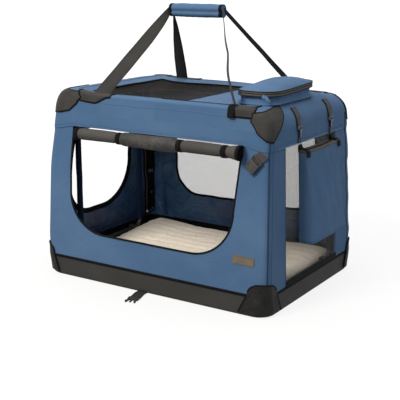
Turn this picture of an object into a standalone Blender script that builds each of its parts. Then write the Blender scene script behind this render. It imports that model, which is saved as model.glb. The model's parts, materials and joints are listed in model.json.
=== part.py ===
"""Soft folding dog crate: a cloth box on a folding steel frame.

X runs along the long side, the front door is at -Y, the side bag at +X, +Z is up.
The origin is at the middle of the base, on the surface that the crate stands on.
"""
import math

import bmesh
import bpy
from mathutils import Vector

# Driving dimensions of the crate, in metres
CRATE_LENGTH = 0.700
CRATE_DEPTH = 0.500
CRATE_HEIGHT = 0.520
END_X = CRATE_LENGTH / 2.0
SIDE_Y = CRATE_DEPTH / 2.0
LEAN_LENGTH = 0.016
LEAN_DEPTH = 0.026
CLOTH = 0.0020
GAP = 0.0003
SEAM = 0.0007
TUBE_RADIUS = 0.0065
TUBE_BEND = 0.030

# Base: tray of coated cloth, boots on its corners, board, mat and base tube
TRAY_HEIGHT = 0.058
TRAY_CORNER = 0.045
WALL_CORNER = 0.022
TRAY_EDGE = 0.006
BOOT_CLOTH = 0.0014
BOOT_REACH = 0.032
BOOT_RISE = 0.028
BOOT_LOW = 0.010
BASE_TUBE_INSET = 0.015
BASE_TUBE_CLEAR = 0.0004
BASE_TUBE_LENGTH = CRATE_LENGTH - 2.0 * BASE_TUBE_INSET
BASE_TUBE_DEPTH = CRATE_DEPTH - 2.0 * BASE_TUBE_INSET
BASE_TUBE_HEIGHT = CLOTH + BASE_TUBE_CLEAR + TUBE_RADIUS
BOARD_INSET_ENDS = 0.012
BOARD_INSET_SIDES = 0.015
BOARD_LENGTH = CRATE_LENGTH - 2.0 * BOARD_INSET_ENDS
BOARD_DEPTH = CRATE_DEPTH - 2.0 * BOARD_INSET_SIDES
BOARD_THICKNESS = 0.005
MAT_INSET_ENDS = 0.034
MAT_INSET_SIDES = 0.019
MAT_LENGTH = CRATE_LENGTH - 2.0 * MAT_INSET_ENDS
MAT_DEPTH = CRATE_DEPTH - 2.0 * MAT_INSET_SIDES
MAT_EDGE = 0.014
MAT_CROWN = 0.0075
MAT_PULL = 0.004

# Top: cover, tube ring under it, catches that hold the legs
RIM_ROUND = 0.055
RIM_HEIGHT = CRATE_HEIGHT - RIM_ROUND
TOP_EDGE = 0.006
SKIRT_DROP = 0.045
SKIRT_HEIGHT = RIM_HEIGHT - SKIRT_DROP
SKIRT_PROUD = 0.002
TOP_TUBE_INSET_ENDS = 0.030
TOP_TUBE_INSET_SIDES = 0.035
TOP_TUBE_DROP = 0.035
TOP_TUBE_LENGTH = CRATE_LENGTH - 2.0 * TOP_TUBE_INSET_ENDS
TOP_TUBE_DEPTH = CRATE_DEPTH - 2.0 * TOP_TUBE_INSET_SIDES
TOP_TUBE_HEIGHT = CRATE_HEIGHT - TOP_TUBE_DROP
CATCH_DROP = 0.0875
CATCH_STEP_DROP = 0.043
CATCH_LOW = TOP_TUBE_HEIGHT - CATCH_DROP
CATCH_STEP = TOP_TUBE_HEIGHT - CATCH_STEP_DROP
CATCH_PLATE = 0.0028
CATCH_WIDTH = 0.018
PATCH_DROP = 0.024
PATCH_LOW = RIM_HEIGHT - PATCH_DROP
PATCH_CLOTH = 0.0012
PATCH_WIDTH_LEFT = 0.085
PATCH_WIDTH_RIGHT = 0.045
PATCH_SIDE = 0.076

# End frames: a bent tube at each end, which folds down inwards
AXLE_INSET = 0.025
AXLE_X = END_X - AXLE_INSET
AXLE_HEIGHT = 0.050
LEG_HOLD = 0.0175
LEG_TOP = CATCH_LOW + LEG_HOLD
LEG_BEND = 0.024
LEG_INSET_LEFT = 0.105
LEG_INSET_RIGHT = 0.087
LEG_REACH_LEFT = SIDE_Y - LEG_INSET_LEFT
LEG_REACH_RIGHT = SIDE_Y - LEG_INSET_RIGHT
SADDLE_INSET = 0.042
SADDLE_WIDTH = 0.018
SADDLE_BORE = TUBE_RADIUS + 2.0 * GAP
SADDLE_CHEEK = 0.00115
SADDLE_CAP = 0.0034
SADDLE_TOP = AXLE_HEIGHT + SADDLE_BORE + SADDLE_CAP

# Openings in the cloth and the nets in them
DOOR_INSET = 0.086
DOOR_TAPER = 0.010
DOOR_SILL = 0.076
DOOR_ROUND = 0.098
DOOR_WIDTH = CRATE_LENGTH - 2.0 * DOOR_INSET
DOOR_FOOT_WIDTH = DOOR_WIDTH - 2.0 * DOOR_TAPER
DOOR_LOW = TRAY_HEIGHT + DOOR_SILL
END_DOOR_INSET = 0.118
END_DOOR_SILL = 0.090
END_DOOR_ROUND = 0.070
END_DOOR_WIDTH = CRATE_DEPTH - 2.0 * END_DOOR_INSET
END_DOOR_LOW = TRAY_HEIGHT + END_DOOR_SILL
BACK_WINDOW_INSET = 0.110
BACK_WINDOW_SILL = 0.090
BACK_WINDOW_ROUND = 0.080
BACK_WINDOW_WIDTH = CRATE_LENGTH - 2.0 * BACK_WINDOW_INSET
BACK_WINDOW_LOW = TRAY_HEIGHT + BACK_WINDOW_SILL
SIDE_WINDOW_INSET = 0.080
SIDE_WINDOW_SILL = 0.020
SIDE_WINDOW_ROUND = 0.010
SIDE_WINDOW_WIDTH = CRATE_DEPTH - 2.0 * SIDE_WINDOW_INSET
SIDE_WINDOW_LOW = TRAY_HEIGHT + SIDE_WINDOW_SILL
TOP_WINDOW_INSET_LEFT = 0.114
TOP_WINDOW_INSET_FRONT = 0.074
TOP_WINDOW_LENGTH = 0.302
TOP_WINDOW_DEPTH = 0.326
TOP_WINDOW_LEFT = TOP_WINDOW_INSET_LEFT - END_X
TOP_WINDOW_RIGHT = TOP_WINDOW_LEFT + TOP_WINDOW_LENGTH
TOP_WINDOW_FRONT = TOP_WINDOW_INSET_FRONT - SIDE_Y
TOP_WINDOW_BACK = TOP_WINDOW_FRONT + TOP_WINDOW_DEPTH
NET_THICKNESS = 0.0012
NET_BAR = 0.0045
NET_RIM = 0.010

# Rolled doors and the ties round them
ROLL_RADIUS = 0.0170
ROLL_NECK = 0.0148
ROLL_NECK_RUN = 0.012
ROLL_DROP = 0.016
ROLL_HEIGHT = SKIRT_HEIGHT - ROLL_DROP
ROLL_OVERHANG = 0.004
ROLL_LENGTH = DOOR_WIDTH + 2.0 * ROLL_OVERHANG
END_ROLL_OVERHANG = 0.003
END_ROLL_LENGTH = END_DOOR_WIDTH + 2.0 * END_ROLL_OVERHANG
TIE_WIDTH = 0.014
TIE_CLOTH = 0.0012

# Handle: a padded grip on four webbing straps
HANDLE_RISE = 0.215
GRIP_LENGTH = 0.166
GRIP_CENTRE_X = -0.014
GRIP_HEIGHT = CRATE_HEIGHT + HANDLE_RISE
GRIP_TALL = 0.042
GRIP_DEEP = 0.032
STRAP_WIDTH = 0.038
STRAP_CLOTH = 0.0016
STRAP_INSET_LEFT = 0.158
STRAP_INSET_RIGHT = 0.118
STRAP_FOOT_INSET = 0.008
STRAP_TOP_INSET = 0.007

# Top pocket with its domed lid
POCKET_INSET_RIGHT = 0.038
POCKET_INSET_FRONT = 0.082
POCKET_LENGTH = 0.116
POCKET_DEPTH = 0.252
POCKET_RIGHT = END_X - POCKET_INSET_RIGHT
POCKET_LEFT = POCKET_RIGHT - POCKET_LENGTH
POCKET_FRONT = POCKET_INSET_FRONT - SIDE_Y
POCKET_BACK = POCKET_FRONT + POCKET_DEPTH
POCKET_HEIGHT = 0.022
POCKET_ROUND = 0.022
LID_EDGE = 0.005
LID_CROWN = 0.023
SLIDER_LENGTH = 0.014
SLIDER_TALL = 0.010
SLIDER_THICK = 0.004
SLIDER_INSET = 0.026

# Side bag and the webbing that carries it
BAG_INSET_FRONT = 0.164
BAG_INSET_BACK = 0.134
BAG_FRONT = BAG_INSET_FRONT - SIDE_Y
BAG_BACK = SIDE_Y - BAG_INSET_BACK
BAG_DROP = 0.022
BAG_TALL = 0.238
BAG_TOP = SKIRT_HEIGHT - BAG_DROP
BAG_LOW = BAG_TOP - BAG_TALL
BAG_OFF_WALL = 0.0032
BAG_THICK_TOP = 0.027
BAG_THICK_LOW = 0.050
BAG_ROUND = 0.006
BAG_RIM = 0.0035
BAG_TAB_TALL = 0.0155
BAG_TAB_THICK = 0.003
HANGER_INSET_FRONT = 0.008
HANGER_INSET_REAR = 0.012
HANGER_WIDTH = 0.016
HANGER_CLOTH = 0.0018
HANGER_DROP = 0.019
HANGER_TOP_DROP = 0.013
HANGER_LOW = RIM_HEIGHT - HANGER_DROP
HANGER_TOP = CRATE_HEIGHT - HANGER_TOP_DROP
HOOK_WIDTH = 0.012
HOOK_THICK = 0.007

# Front buckle, its webbing, the stowing strap under the base, the bare label
BUCKLE_WEB_INSET = 0.049
BUCKLE_WEB_WIDTH = 0.034
BUCKLE_WEB_TALL = 0.044
BUCKLE_WEB_RISE = 0.020
BUCKLE_WEB_TOP = SKIRT_HEIGHT + BUCKLE_WEB_RISE
BUCKLE_WEB_LOW = BUCKLE_WEB_TOP - BUCKLE_WEB_TALL
BUCKLE_WIDTH = 0.040
BUCKLE_TALL = 0.036
BUCKLE_THICK = 0.009
BUCKLE_SHIFT = -0.010
STOW_X = -0.035
STOW_DRIFT = 0.031
STOW_RUN = 0.052
STOW_WIDTH = 0.030
STOW_THICK = 0.0020
PRONG_BODY_LENGTH = 0.016
PRONG_LENGTH = 0.020
PRONG_WIDTH = 0.007
PRONG_THICK = 0.007
LABEL_INSET = 0.105
LABEL_LENGTH = 0.064
LABEL_TALL = 0.023
LABEL_RISE = 0.072
LABEL_THICK = 0.0010

# Counts of segments and shares of a length
CORNER_STEPS = 4
DOOR_STEPS = 7
ROUND_SIDES = 12
RIM_STEPS = 5
TIE_SHARES = (-0.4646, -0.1791, 0.1847, 0.4478)
BOOT_ARCH_SHARES = (0.0, 0.72, 0.93, 1.0, 0.93, 0.72, 0.0)
GRIP_SHARES = ((-1.0, 0.78), (-0.94, 0.94), (-0.45, 1.0), (0.45, 1.0), (0.94, 0.94), (1.0, 0.78))
STRAP_SHARES = (0.0, 0.25, 0.5, 0.75, 1.0)
LID_DOME_SHARES = ((0.82, 0.62), (0.55, 0.90), (0.25, 1.0))
PATCH_FRONT_POWER = 0.5
PATCH_SIDE_POWER = 0.8
NET_BACK_GAPS = (13, 6)
NET_SIDE_GAPS = (8, 8)
NET_TOP_GAPS = (8, 9)
MAT_STEPS = (14, 10)

PAINT = {
    "cloth_blue": ((0.075, 0.160, 0.290), 0.85, 0.0),
    "cloth_dark": ((0.045, 0.045, 0.050), 0.85, 0.0),
    "cloth_grey": ((0.090, 0.090, 0.092), 0.85, 0.0),
    "net_black": ((0.030, 0.030, 0.033), 0.80, 0.0),
    "net_grey": ((0.400, 0.400, 0.390), 0.80, 0.0),
    "webbing": ((0.040, 0.040, 0.040), 0.80, 0.0),
    "fleece": ((0.720, 0.640, 0.520), 1.00, 0.0),
    "board": ((0.200, 0.180, 0.150), 0.80, 0.0),
    "steel": ((0.560, 0.570, 0.580), 0.35, 1.0),
    "plastic": ((0.020, 0.020, 0.022), 0.45, 0.0),
    "label": ((0.300, 0.240, 0.180), 0.60, 0.0),
}


def clear_scene():
    """Remove every object that the open file holds."""
    for item in list(bpy.data.objects):
        bpy.data.objects.remove(item, do_unlink=True)


def paint(name):
    """Return the named Principled material, made on first use."""
    found = bpy.data.materials.get(name)
    if found:
        return found
    colour, roughness, metallic = PAINT[name]
    made = bpy.data.materials.new(name)
    made.use_nodes = True
    shader = made.node_tree.nodes["Principled BSDF"]
    shader.inputs["Base Color"].default_value = (*colour, 1.0)
    shader.inputs["Roughness"].default_value = roughness
    shader.inputs["Metallic"].default_value = metallic
    return made


def add_object(name, mesh, slot, origin=(0.0, 0.0, 0.0)):
    """Link a mesh as an object whose origin is moved to the given point."""
    mesh.materials.clear()
    mesh.materials.append(paint(slot))
    shift = Vector(origin)
    for vertex in mesh.vertices:
        vertex.co -= shift
    item = bpy.data.objects.new(name, mesh)
    item.location = shift
    bpy.context.scene.collection.objects.link(item)
    return item


def mesh_from(work, name):
    """Turn a bmesh into a mesh and free it."""
    mesh = bpy.data.meshes.new(name)
    work.to_mesh(mesh)
    work.free()
    return mesh


def face_outwards(work, outward):
    """Make all the faces of an open sheet agree and point outward on the whole."""
    bmesh.ops.recalc_face_normals(work, faces=work.faces)
    work.normal_update()
    total = 0.0
    for face in work.faces:
        total += face.normal.dot(outward(face.calc_center_median())) * face.calc_area()
    if total < 0.0:
        bmesh.ops.reverse_faces(work, faces=work.faces)


def sheet_object(name, work, slot, thickness, outward, grow=-1.0, origin=(0.0, 0.0, 0.0)):
    """Give an open sheet its thickness, inwards for grow -1 and outwards for +1."""
    bmesh.ops.remove_doubles(work, verts=work.verts, dist=GAP / 10.0)
    face_outwards(work, outward)
    item = add_object(name, mesh_from(work, name), slot, origin)
    solid = item.modifiers.new("Solidify", "SOLIDIFY")
    solid.thickness = thickness
    solid.offset = grow
    solid.use_even_offset = True
    return item


def solid_object(name, work, slot, origin=(0.0, 0.0, 0.0)):
    """Link a closed bmesh with its faces pointing out."""
    bmesh.ops.recalc_face_normals(work, faces=work.faces)
    return add_object(name, mesh_from(work, name), slot, origin)


def add_loop(work, points):
    """Add a closed loop of edges through the points and return its edges."""
    corners = [work.verts.new(point) for point in points]
    return [work.edges.new((a, b)) for a, b in zip(corners, corners[1:] + corners[:1])]


def fill_with_holes(work, outline, holes):
    """Fill a flat outline with triangles, leaving the holes open."""
    edges = add_loop(work, outline)
    for hole in holes:
        edges += add_loop(work, hole)
    bmesh.ops.triangle_fill(work, use_beauty=True, use_dissolve=False, edges=edges)


def stitch_rows(work, rows, closed=False):
    """Join neighbouring rows of points with quads."""
    made = [[work.verts.new(point) for point in row] for row in rows]
    for low, high in zip(made, made[1:]):
        count = len(low)
        for index in range(count if closed else count - 1):
            after = (index + 1) % count
            work.faces.new((low[index], low[after], high[after], high[index]))
    return made


def half_length(height):
    """Half of the crate's outer length at a height."""
    lean = LEAN_LENGTH * height / CRATE_HEIGHT
    if height <= RIM_HEIGHT:
        return CRATE_LENGTH / 2.0 - lean
    rise = min(height - RIM_HEIGHT, RIM_ROUND)
    return half_length(RIM_HEIGHT) - RIM_ROUND + math.sqrt(RIM_ROUND ** 2 - rise ** 2)


def half_depth(height):
    """Half of the crate's outer depth at a height."""
    tuck = max(0.0, height - (CRATE_HEIGHT - TOP_EDGE))
    return CRATE_DEPTH / 2.0 - LEAN_DEPTH * height / CRATE_HEIGHT - tuck


def corner_radius(height):
    """Plan radius of the upright corners at a height."""
    share = min(1.0, height / TRAY_HEIGHT)
    return TRAY_CORNER + (WALL_CORNER - TRAY_CORNER) * share


def proud(height):
    """How far the skirt and the top cover stand out from the walls."""
    return SKIRT_PROUD if height > SKIRT_HEIGHT else 0.0


def corner_point(side_x, side_y, angle, height, out=0.0):
    """Point on an upright corner; angle 0 faces along Y and a right angle along X."""
    radius = corner_radius(height)
    centre_x = half_length(height) - radius
    centre_y = half_depth(height) - radius
    reach = radius + out
    x = side_x * (centre_x + reach * math.sin(angle))
    y = side_y * (centre_y + reach * math.cos(angle))
    return Vector((x, y, height))


def corner_angles():
    """Angles of the points round one upright corner."""
    return [math.pi / 2.0 * step / CORNER_STEPS for step in range(CORNER_STEPS + 1)]


def ring(height, out=0.0):
    """Closed loop of points round the crate at a height."""
    points = []
    for side_x, side_y, turn_back in ((1, -1, False), (1, 1, True), (-1, 1, False), (-1, -1, True)):
        angles = corner_angles()
        if turn_back:
            angles.reverse()
        points += [corner_point(side_x, side_y, angle, height, out) for angle in angles]
    return points


def from_middle(point):
    """Direction away from the crate's upright middle line."""
    return Vector((point.x, point.y, 0.0))


def rounded_door(width, foot_width, low, high, radius):
    """Outline of a door with upright sides, a flat top and round lower corners."""
    half = width / 2.0
    foot = foot_width / 2.0
    points = [(half, high)]
    for step in range(DOOR_STEPS + 1):
        angle = math.pi / 2.0 * step / DOOR_STEPS
        points.append((foot - radius + radius * math.cos(angle), low + radius - radius * math.sin(angle)))
    return points + [(-x, z) for x, z in reversed(points)]


def wall_point(face, across, height, out=0.0):
    """Point on a flat wall; face names the wall and across runs along it."""
    if face in ("front", "back"):
        sign = -1 if face == "front" else 1
        return Vector((across, sign * (half_depth(height) + out), height))
    sign = -1 if face == "left" else 1
    return Vector((sign * (half_length(height) + out), across, height))


def door_outline(face):
    """Outline of the opening in a wall, as pairs of across and height."""
    if face == "front":
        return rounded_door(DOOR_WIDTH, DOOR_FOOT_WIDTH, DOOR_LOW, SKIRT_HEIGHT - CLOTH, DOOR_ROUND)
    if face == "back":
        width, low, radius = BACK_WINDOW_WIDTH, BACK_WINDOW_LOW, BACK_WINDOW_ROUND
    elif face == "left":
        width, low, radius = END_DOOR_WIDTH, END_DOOR_LOW, END_DOOR_ROUND
    else:
        width, low, radius = SIDE_WINDOW_WIDTH, SIDE_WINDOW_LOW, SIDE_WINDOW_ROUND
    return rounded_door(width, width, low, SKIRT_HEIGHT - CLOTH, radius)


def wall_columns(face, height):
    """Points along a wall's top or foot line, round the corners on the front and back."""
    out = proud(height)
    if face in ("front", "back"):
        side_y = -1 if face == "front" else 1
        left = [corner_point(-1, side_y, angle, height, out) for angle in reversed(corner_angles())]
        right = [corner_point(1, side_y, angle, height, out) for angle in corner_angles()]
        return left + right
    reach = half_depth(height) - corner_radius(height) - SEAM
    return [wall_point(face, -reach, height, out), wall_point(face, reach, height, out)]


def make_wall(face):
    """One cloth wall with its opening and the proud skirt above it."""
    work = bmesh.new()
    foot = TRAY_HEIGHT + SEAM
    levels = (foot, SKIRT_HEIGHT, SKIRT_HEIGHT + SKIRT_PROUD, RIM_HEIGHT - SEAM)
    rows = [wall_columns(face, level) for level in levels]
    middle = len(rows[0]) // 2
    for low, high in zip(rows[1:], rows[2:]):
        stitch_rows(work, (low, high))
    for part in (slice(0, middle), slice(middle, None)):
        if len(rows[0][part]) > 1:
            stitch_rows(work, (rows[0][part], rows[1][part]))
    outline = [rows[0][middle - 1], rows[0][middle], rows[1][middle], rows[1][middle - 1]]
    hole = [wall_point(face, across, height) for across, height in door_outline(face)]
    fill_with_holes(work, outline, [hole])
    sheet_object("wall_" + face, work, "cloth_blue", CLOTH, from_middle)


def make_tray():
    """Shallow tray of coated cloth that the crate stands on."""
    work = bmesh.new()
    bottom = [Vector((p.x, p.y, 0.0)) for p in ring(0.0, -TRAY_EDGE)]
    rows = [bottom, ring(TRAY_EDGE), ring(TRAY_HEIGHT)]
    made = stitch_rows(work, rows, closed=True)
    work.faces.new(made[0])

    def outward(point):
        return from_middle(point) if point.z > TRAY_EDGE / 4.0 else Vector((0.0, 0.0, -1.0))

    sheet_object("base_tray", work, "cloth_dark", CLOTH, outward)


def make_boot(side_x, side_y, name):
    """Tough patch wrapped round a lower corner."""
    work = bmesh.new()
    angles = corner_angles()
    arch = BOOT_ARCH_SHARES
    foot_row = [BOOT_LOW] * len(arch)
    rim_row = [TRAY_HEIGHT] * len(arch)
    top_row = [TRAY_HEIGHT + GAP + BOOT_RISE * share for share in arch]
    rows = []
    for heights in (foot_row, rim_row, top_row):
        places = zip(angles, heights[1:-1])
        row = [corner_point(side_x, side_y, angle, height, GAP) for angle, height in places]
        front = corner_point(side_x, side_y, 0.0, heights[0], GAP)
        end = corner_point(side_x, side_y, math.pi / 2.0, heights[-1], GAP)
        front.x -= side_x * BOOT_REACH
        end.y -= side_y * BOOT_REACH
        rows.append([front] + row + [end])
    stitch_rows(work, rows)
    sheet_object("boot_" + name, work, "cloth_grey", BOOT_CLOTH, from_middle, grow=1.0)


def box(work, low, high):
    """Add a closed box between two corners."""
    ends = [(x, y, z) for x in (low[0], high[0]) for y in (low[1], high[1]) for z in (low[2], high[2])]
    corners = [work.verts.new(point) for point in ends]
    for order in ((0, 1, 3, 2), (4, 6, 7, 5), (0, 4, 5, 1), (2, 3, 7, 6), (0, 2, 6, 4), (1, 5, 7, 3)):
        work.faces.new([corners[index] for index in order])


def prism(work, outline, shift):
    """Extrude a flat outline along a vector into a closed solid."""
    face = work.faces.new([work.verts.new(point) for point in outline])
    made = bmesh.ops.extrude_face_region(work, geom=[face])
    moved = [part for part in made["geom"] if isinstance(part, bmesh.types.BMVert)]
    bmesh.ops.translate(work, verts=moved, vec=shift)


def rounded_rectangle(half_x, half_y, radius, steps=CORNER_STEPS):
    """Points of a rounded rectangle about the origin."""
    points = []
    for sign_x, sign_y, start in ((1, 1, 0.0), (-1, 1, 0.5), (-1, -1, 1.0), (1, -1, 1.5)):
        for step in range(steps + 1):
            angle = math.pi * (start + 0.5 * step / steps)
            x = sign_x * (half_x - radius) + radius * math.cos(angle)
            y = sign_y * (half_y - radius) + radius * math.sin(angle)
            points.append((x, y))
    return points


def tube_object(name, points, closed, slot="steel", origin=(0.0, 0.0, 0.0)):
    """Round tube along the points."""
    line = bpy.data.curves.new(name, "CURVE")
    line.dimensions = "3D"
    line.bevel_depth = TUBE_RADIUS
    line.bevel_resolution = 2
    line.resolution_u = 1
    line.use_fill_caps = True
    run = line.splines.new("POLY")
    run.points.add(len(points) - 1)
    shift = Vector(origin)
    for target, point in zip(run.points, points):
        target.co = (*(Vector(point) - shift), 1.0)
    run.use_cyclic_u = closed
    line.materials.append(paint(slot))
    item = bpy.data.objects.new(name, line)
    item.location = shift
    bpy.context.scene.collection.objects.link(item)


def make_tube_ring(name, length, depth, height):
    """Closed rectangle of tube with bent corners."""
    plan = rounded_rectangle(length / 2.0, depth / 2.0, TUBE_BEND)
    tube_object(name, [(x, y, height) for x, y in plan], True)


def make_end_frame(side_x, name):
    """Bent tube whose lower run is its axle and whose legs stand up at its ends."""
    reach = LEG_REACH_LEFT if side_x < 0 else LEG_REACH_RIGHT
    bend = [math.pi / 2.0 * step / CORNER_STEPS for step in range(CORNER_STEPS + 1)]
    half = [(reach, LEG_TOP)]
    for angle in bend:
        y = reach - LEG_BEND + LEG_BEND * math.cos(angle)
        half.append((y, AXLE_HEIGHT + LEG_BEND - LEG_BEND * math.sin(angle)))
    run = half + [(-y, z) for y, z in reversed(half)]
    x = side_x * AXLE_X
    tube_object("end_frame_" + name, [(x, y, z) for y, z in run], False, origin=(x, 0.0, AXLE_HEIGHT))


def make_saddle(side_x, side_y, name):
    """Block on the board that the axle of an end frame turns in."""
    reach = LEG_REACH_LEFT if side_x < 0 else LEG_REACH_RIGHT
    y = side_y * (reach - SADDLE_INSET) - SADDLE_WIDTH / 2.0
    low = board_top() + GAP
    half = SADDLE_BORE + SADDLE_CHEEK
    x = side_x * AXLE_X
    outline = [(x - half, y, low), (x + half, y, low), (x + half, y, SADDLE_TOP), (x - half, y, SADDLE_TOP)]
    hole = []
    for step in range(ROUND_SIDES):
        angle = 2.0 * math.pi * step / ROUND_SIDES
        side, rise = SADDLE_BORE * math.cos(angle), SADDLE_BORE * math.sin(angle)
        hole.append((x + side, y, AXLE_HEIGHT + rise))
    work = bmesh.new()
    fill_with_holes(work, outline, [hole])
    sheet_object("saddle_" + name, work, "plastic", SADDLE_WIDTH, lambda point: Vector((0.0, -1.0, 0.0)))


def board_bottom():
    """Height of the board's under side, on the base tube."""
    return BASE_TUBE_HEIGHT + TUBE_RADIUS + GAP


def board_top():
    """Height of the board's upper side."""
    return board_bottom() + BOARD_THICKNESS


def make_board():
    """Stiff board that the mat lies on."""
    plan = rounded_rectangle(BOARD_LENGTH / 2.0, BOARD_DEPTH / 2.0, WALL_CORNER, steps=2)
    work = bmesh.new()
    prism(work, [(x, y, board_bottom()) for x, y in plan], Vector((0.0, 0.0, BOARD_THICKNESS)))
    solid_object("floor_board", work, "board")


def make_mat():
    """Fleece mat with a crown in the middle and sides drawn in between its corners."""
    work = bmesh.new()
    across, along = MAT_STEPS
    low = board_top() + GAP
    rows = []
    for j in range(along + 1):
        v = 2.0 * j / along - 1.0
        row = []
        for i in range(across + 1):
            u = 2.0 * i / across - 1.0
            x = u * (MAT_LENGTH / 2.0 - MAT_PULL * (1.0 - v * v))
            y = v * (MAT_DEPTH / 2.0 - MAT_PULL * (1.0 - u * u))
            crown = MAT_CROWN * math.sqrt(max(0.0, (1.0 - u ** 4) * (1.0 - v ** 4)))
            row.append((x, y, low + MAT_EDGE + crown))
        rows.append(row)
    top = stitch_rows(work, rows)
    border = top[0] + [row[-1] for row in top[1:]] + top[-1][-2::-1] + [row[0] for row in top[-2:0:-1]]
    foot = [work.verts.new((corner.co.x, corner.co.y, low)) for corner in border]
    count = len(border)
    for index in range(count):
        after = (index + 1) % count
        work.faces.new((border[index], border[after], foot[after], foot[index]))
    work.faces.new(foot)
    solid_object("fleece_mat", work, "fleece")


def make_cover():
    """Top cover: rim, rounded ends and top panel with its window."""
    work = bmesh.new()
    rows = [ring(height, SKIRT_PROUD) for height in cover_heights()]
    stitch_rows(work, rows, closed=True)
    window = [
        (TOP_WINDOW_LEFT, TOP_WINDOW_FRONT),
        (TOP_WINDOW_RIGHT, TOP_WINDOW_FRONT),
        (TOP_WINDOW_RIGHT, TOP_WINDOW_BACK),
        (TOP_WINDOW_LEFT, TOP_WINDOW_BACK),
    ]
    hole = [(x, y, CRATE_HEIGHT) for x, y in window]
    fill_with_holes(work, rows[-1], [hole])

    def outward(point):
        return from_middle(point) + Vector((0.0, 0.0, max(0.0, point.z - RIM_HEIGHT)))

    sheet_object("top_cover", work, "cloth_blue", CLOTH, outward)


def make_catch(side_x, side_y, name):
    """Moulded catch under the top tube that holds the end of a leg from outside."""
    reach = LEG_REACH_LEFT if side_x < 0 else LEG_REACH_RIGHT
    back = AXLE_X + TUBE_RADIUS + GAP
    high = TOP_TUBE_HEIGHT - TUBE_RADIUS - GAP
    front = AXLE_X - TUBE_RADIUS
    outline = [(back, CATCH_LOW), (back + CATCH_PLATE, CATCH_LOW), (back + CATCH_PLATE, CATCH_STEP)]
    outline += [(back, high), (front, high), (front, CATCH_STEP), (back, CATCH_STEP)]
    y = side_y * reach - CATCH_WIDTH / 2.0
    work = bmesh.new()
    prism(work, [(side_x * x, y, z) for x, z in outline], Vector((0.0, CATCH_WIDTH, 0.0)))
    solid_object("catch_" + name, work, "plastic")


def cover_heights():
    """Heights of the rows of the top cover, close together where its ends round over."""
    heights = [RIM_HEIGHT, CRATE_HEIGHT - TOP_EDGE, CRATE_HEIGHT]
    for step in range(1, RIM_STEPS):
        heights.append(RIM_HEIGHT + RIM_ROUND * math.sin(math.pi / 2.0 * step / RIM_STEPS))
    return sorted(heights)


def make_corner_patch(side_x, side_y, name):
    """Patch wrapped round an upper corner, narrow at its foot."""
    width = PATCH_WIDTH_LEFT if side_x < 0 else PATCH_WIDTH_RIGHT
    heights = [PATCH_LOW, (PATCH_LOW + RIM_HEIGHT) / 2.0] + cover_heights()[:-1]
    rows = []
    for height in heights:
        share = (height - PATCH_LOW) / (heights[-1] - PATCH_LOW)
        row = [corner_point(side_x, side_y, angle, height, SKIRT_PROUD + SEAM) for angle in corner_angles()]
        front = row[0].copy()
        end = row[-1].copy()
        reach = half_length(PATCH_LOW) - width * share ** PATCH_FRONT_POWER
        front.x = side_x * min(reach, abs(front.x) - CLOTH)
        end.y -= side_y * (CLOTH + PATCH_SIDE * share ** PATCH_SIDE_POWER)
        rows.append([front] + row + [end])
    work = bmesh.new()
    stitch_rows(work, rows)
    sheet_object("corner_patch_" + name, work, "cloth_grey", PATCH_CLOTH, from_middle, grow=1.0)


def net_holes(gaps, left, low, width, tall):
    """Square-cornered gaps of a net in a rectangle, as outlines of pairs."""
    columns, lines = gaps
    step_x = width / columns
    step_y = tall / lines
    bar = NET_BAR / 2.0
    holes = []
    for i in range(columns):
        for j in range(lines):
            x = left + i * step_x
            y = low + j * step_y
            holes.append([
                (x + bar, y + bar), (x + step_x - bar, y + bar),
                (x + step_x - bar, y + step_y - bar), (x + bar, y + step_y - bar),
            ])
    return holes


def inside_door(hole, width, low, radius):
    """Say whether a gap lies clear of the round lower corners."""
    for x, z in hole:
        over = abs(x) - (width / 2.0 - radius)
        under = low + radius - z
        if over > 0.0 and under > 0.0 and math.hypot(over, under) > radius - NET_RIM / 2.0:
            return False
    return True


def make_window_net(face, gaps, width, low, radius, slot):
    """Net in a wall's window, cut to the window's own outline."""
    high = SKIRT_HEIGHT - CLOTH - GAP
    outline = rounded_door(width - 2.0 * GAP, width - 2.0 * GAP, low + GAP, high, radius)
    inner = (width / 2.0 - NET_RIM, low + NET_RIM)
    holes = net_holes(gaps, -inner[0], inner[1], 2.0 * inner[0], high - NET_RIM - inner[1])
    kept = [hole for hole in holes if inside_door(hole, width, low, radius)]
    set_back = -(CLOTH - NET_THICKNESS) / 2.0
    work = bmesh.new()
    fill_with_holes(
        work,
        [wall_point(face, across, height, set_back) for across, height in outline],
        [[wall_point(face, across, height, set_back) for across, height in hole] for hole in kept],
    )
    sheet_object("net_" + face, work, slot, NET_THICKNESS, from_middle)


def make_top_net():
    """Net in the top panel."""
    left, right = TOP_WINDOW_LEFT + GAP, TOP_WINDOW_RIGHT - GAP
    front, back = TOP_WINDOW_FRONT + GAP, TOP_WINDOW_BACK - GAP
    height = CRATE_HEIGHT - (CLOTH - NET_THICKNESS) / 2.0
    plan = [(left, front), (right, front), (right, back), (left, back)]
    width = right - left - 2.0 * NET_RIM
    depth = back - front - 2.0 * NET_RIM
    holes = net_holes(NET_TOP_GAPS, left + NET_RIM, front + NET_RIM, width, depth)
    work = bmesh.new()
    fill_with_holes(
        work,
        [(x, y, height) for x, y in plan],
        [[(x, y, height) for x, y in hole] for hole in holes],
    )
    sheet_object("net_top", work, "net_black", NET_THICKNESS, lambda point: Vector((0.0, 0.0, 1.0)))


def turned_along(work, stations, centre, axis):
    """Closed round solid through stations of place and radius along an axis."""
    rows = []
    for place, radius in stations:
        row = []
        for step in range(ROUND_SIDES):
            angle = 2.0 * math.pi * step / ROUND_SIDES
            side, rise = radius * math.cos(angle), radius * math.sin(angle)
            offset = Vector((place, side, rise)) if axis == "X" else Vector((side, place, rise))
            row.append(Vector(centre) + offset)
        rows.append(row)
    made = stitch_rows(work, rows, closed=True)
    work.faces.new(made[0])
    work.faces.new(list(reversed(made[-1])))


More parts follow.
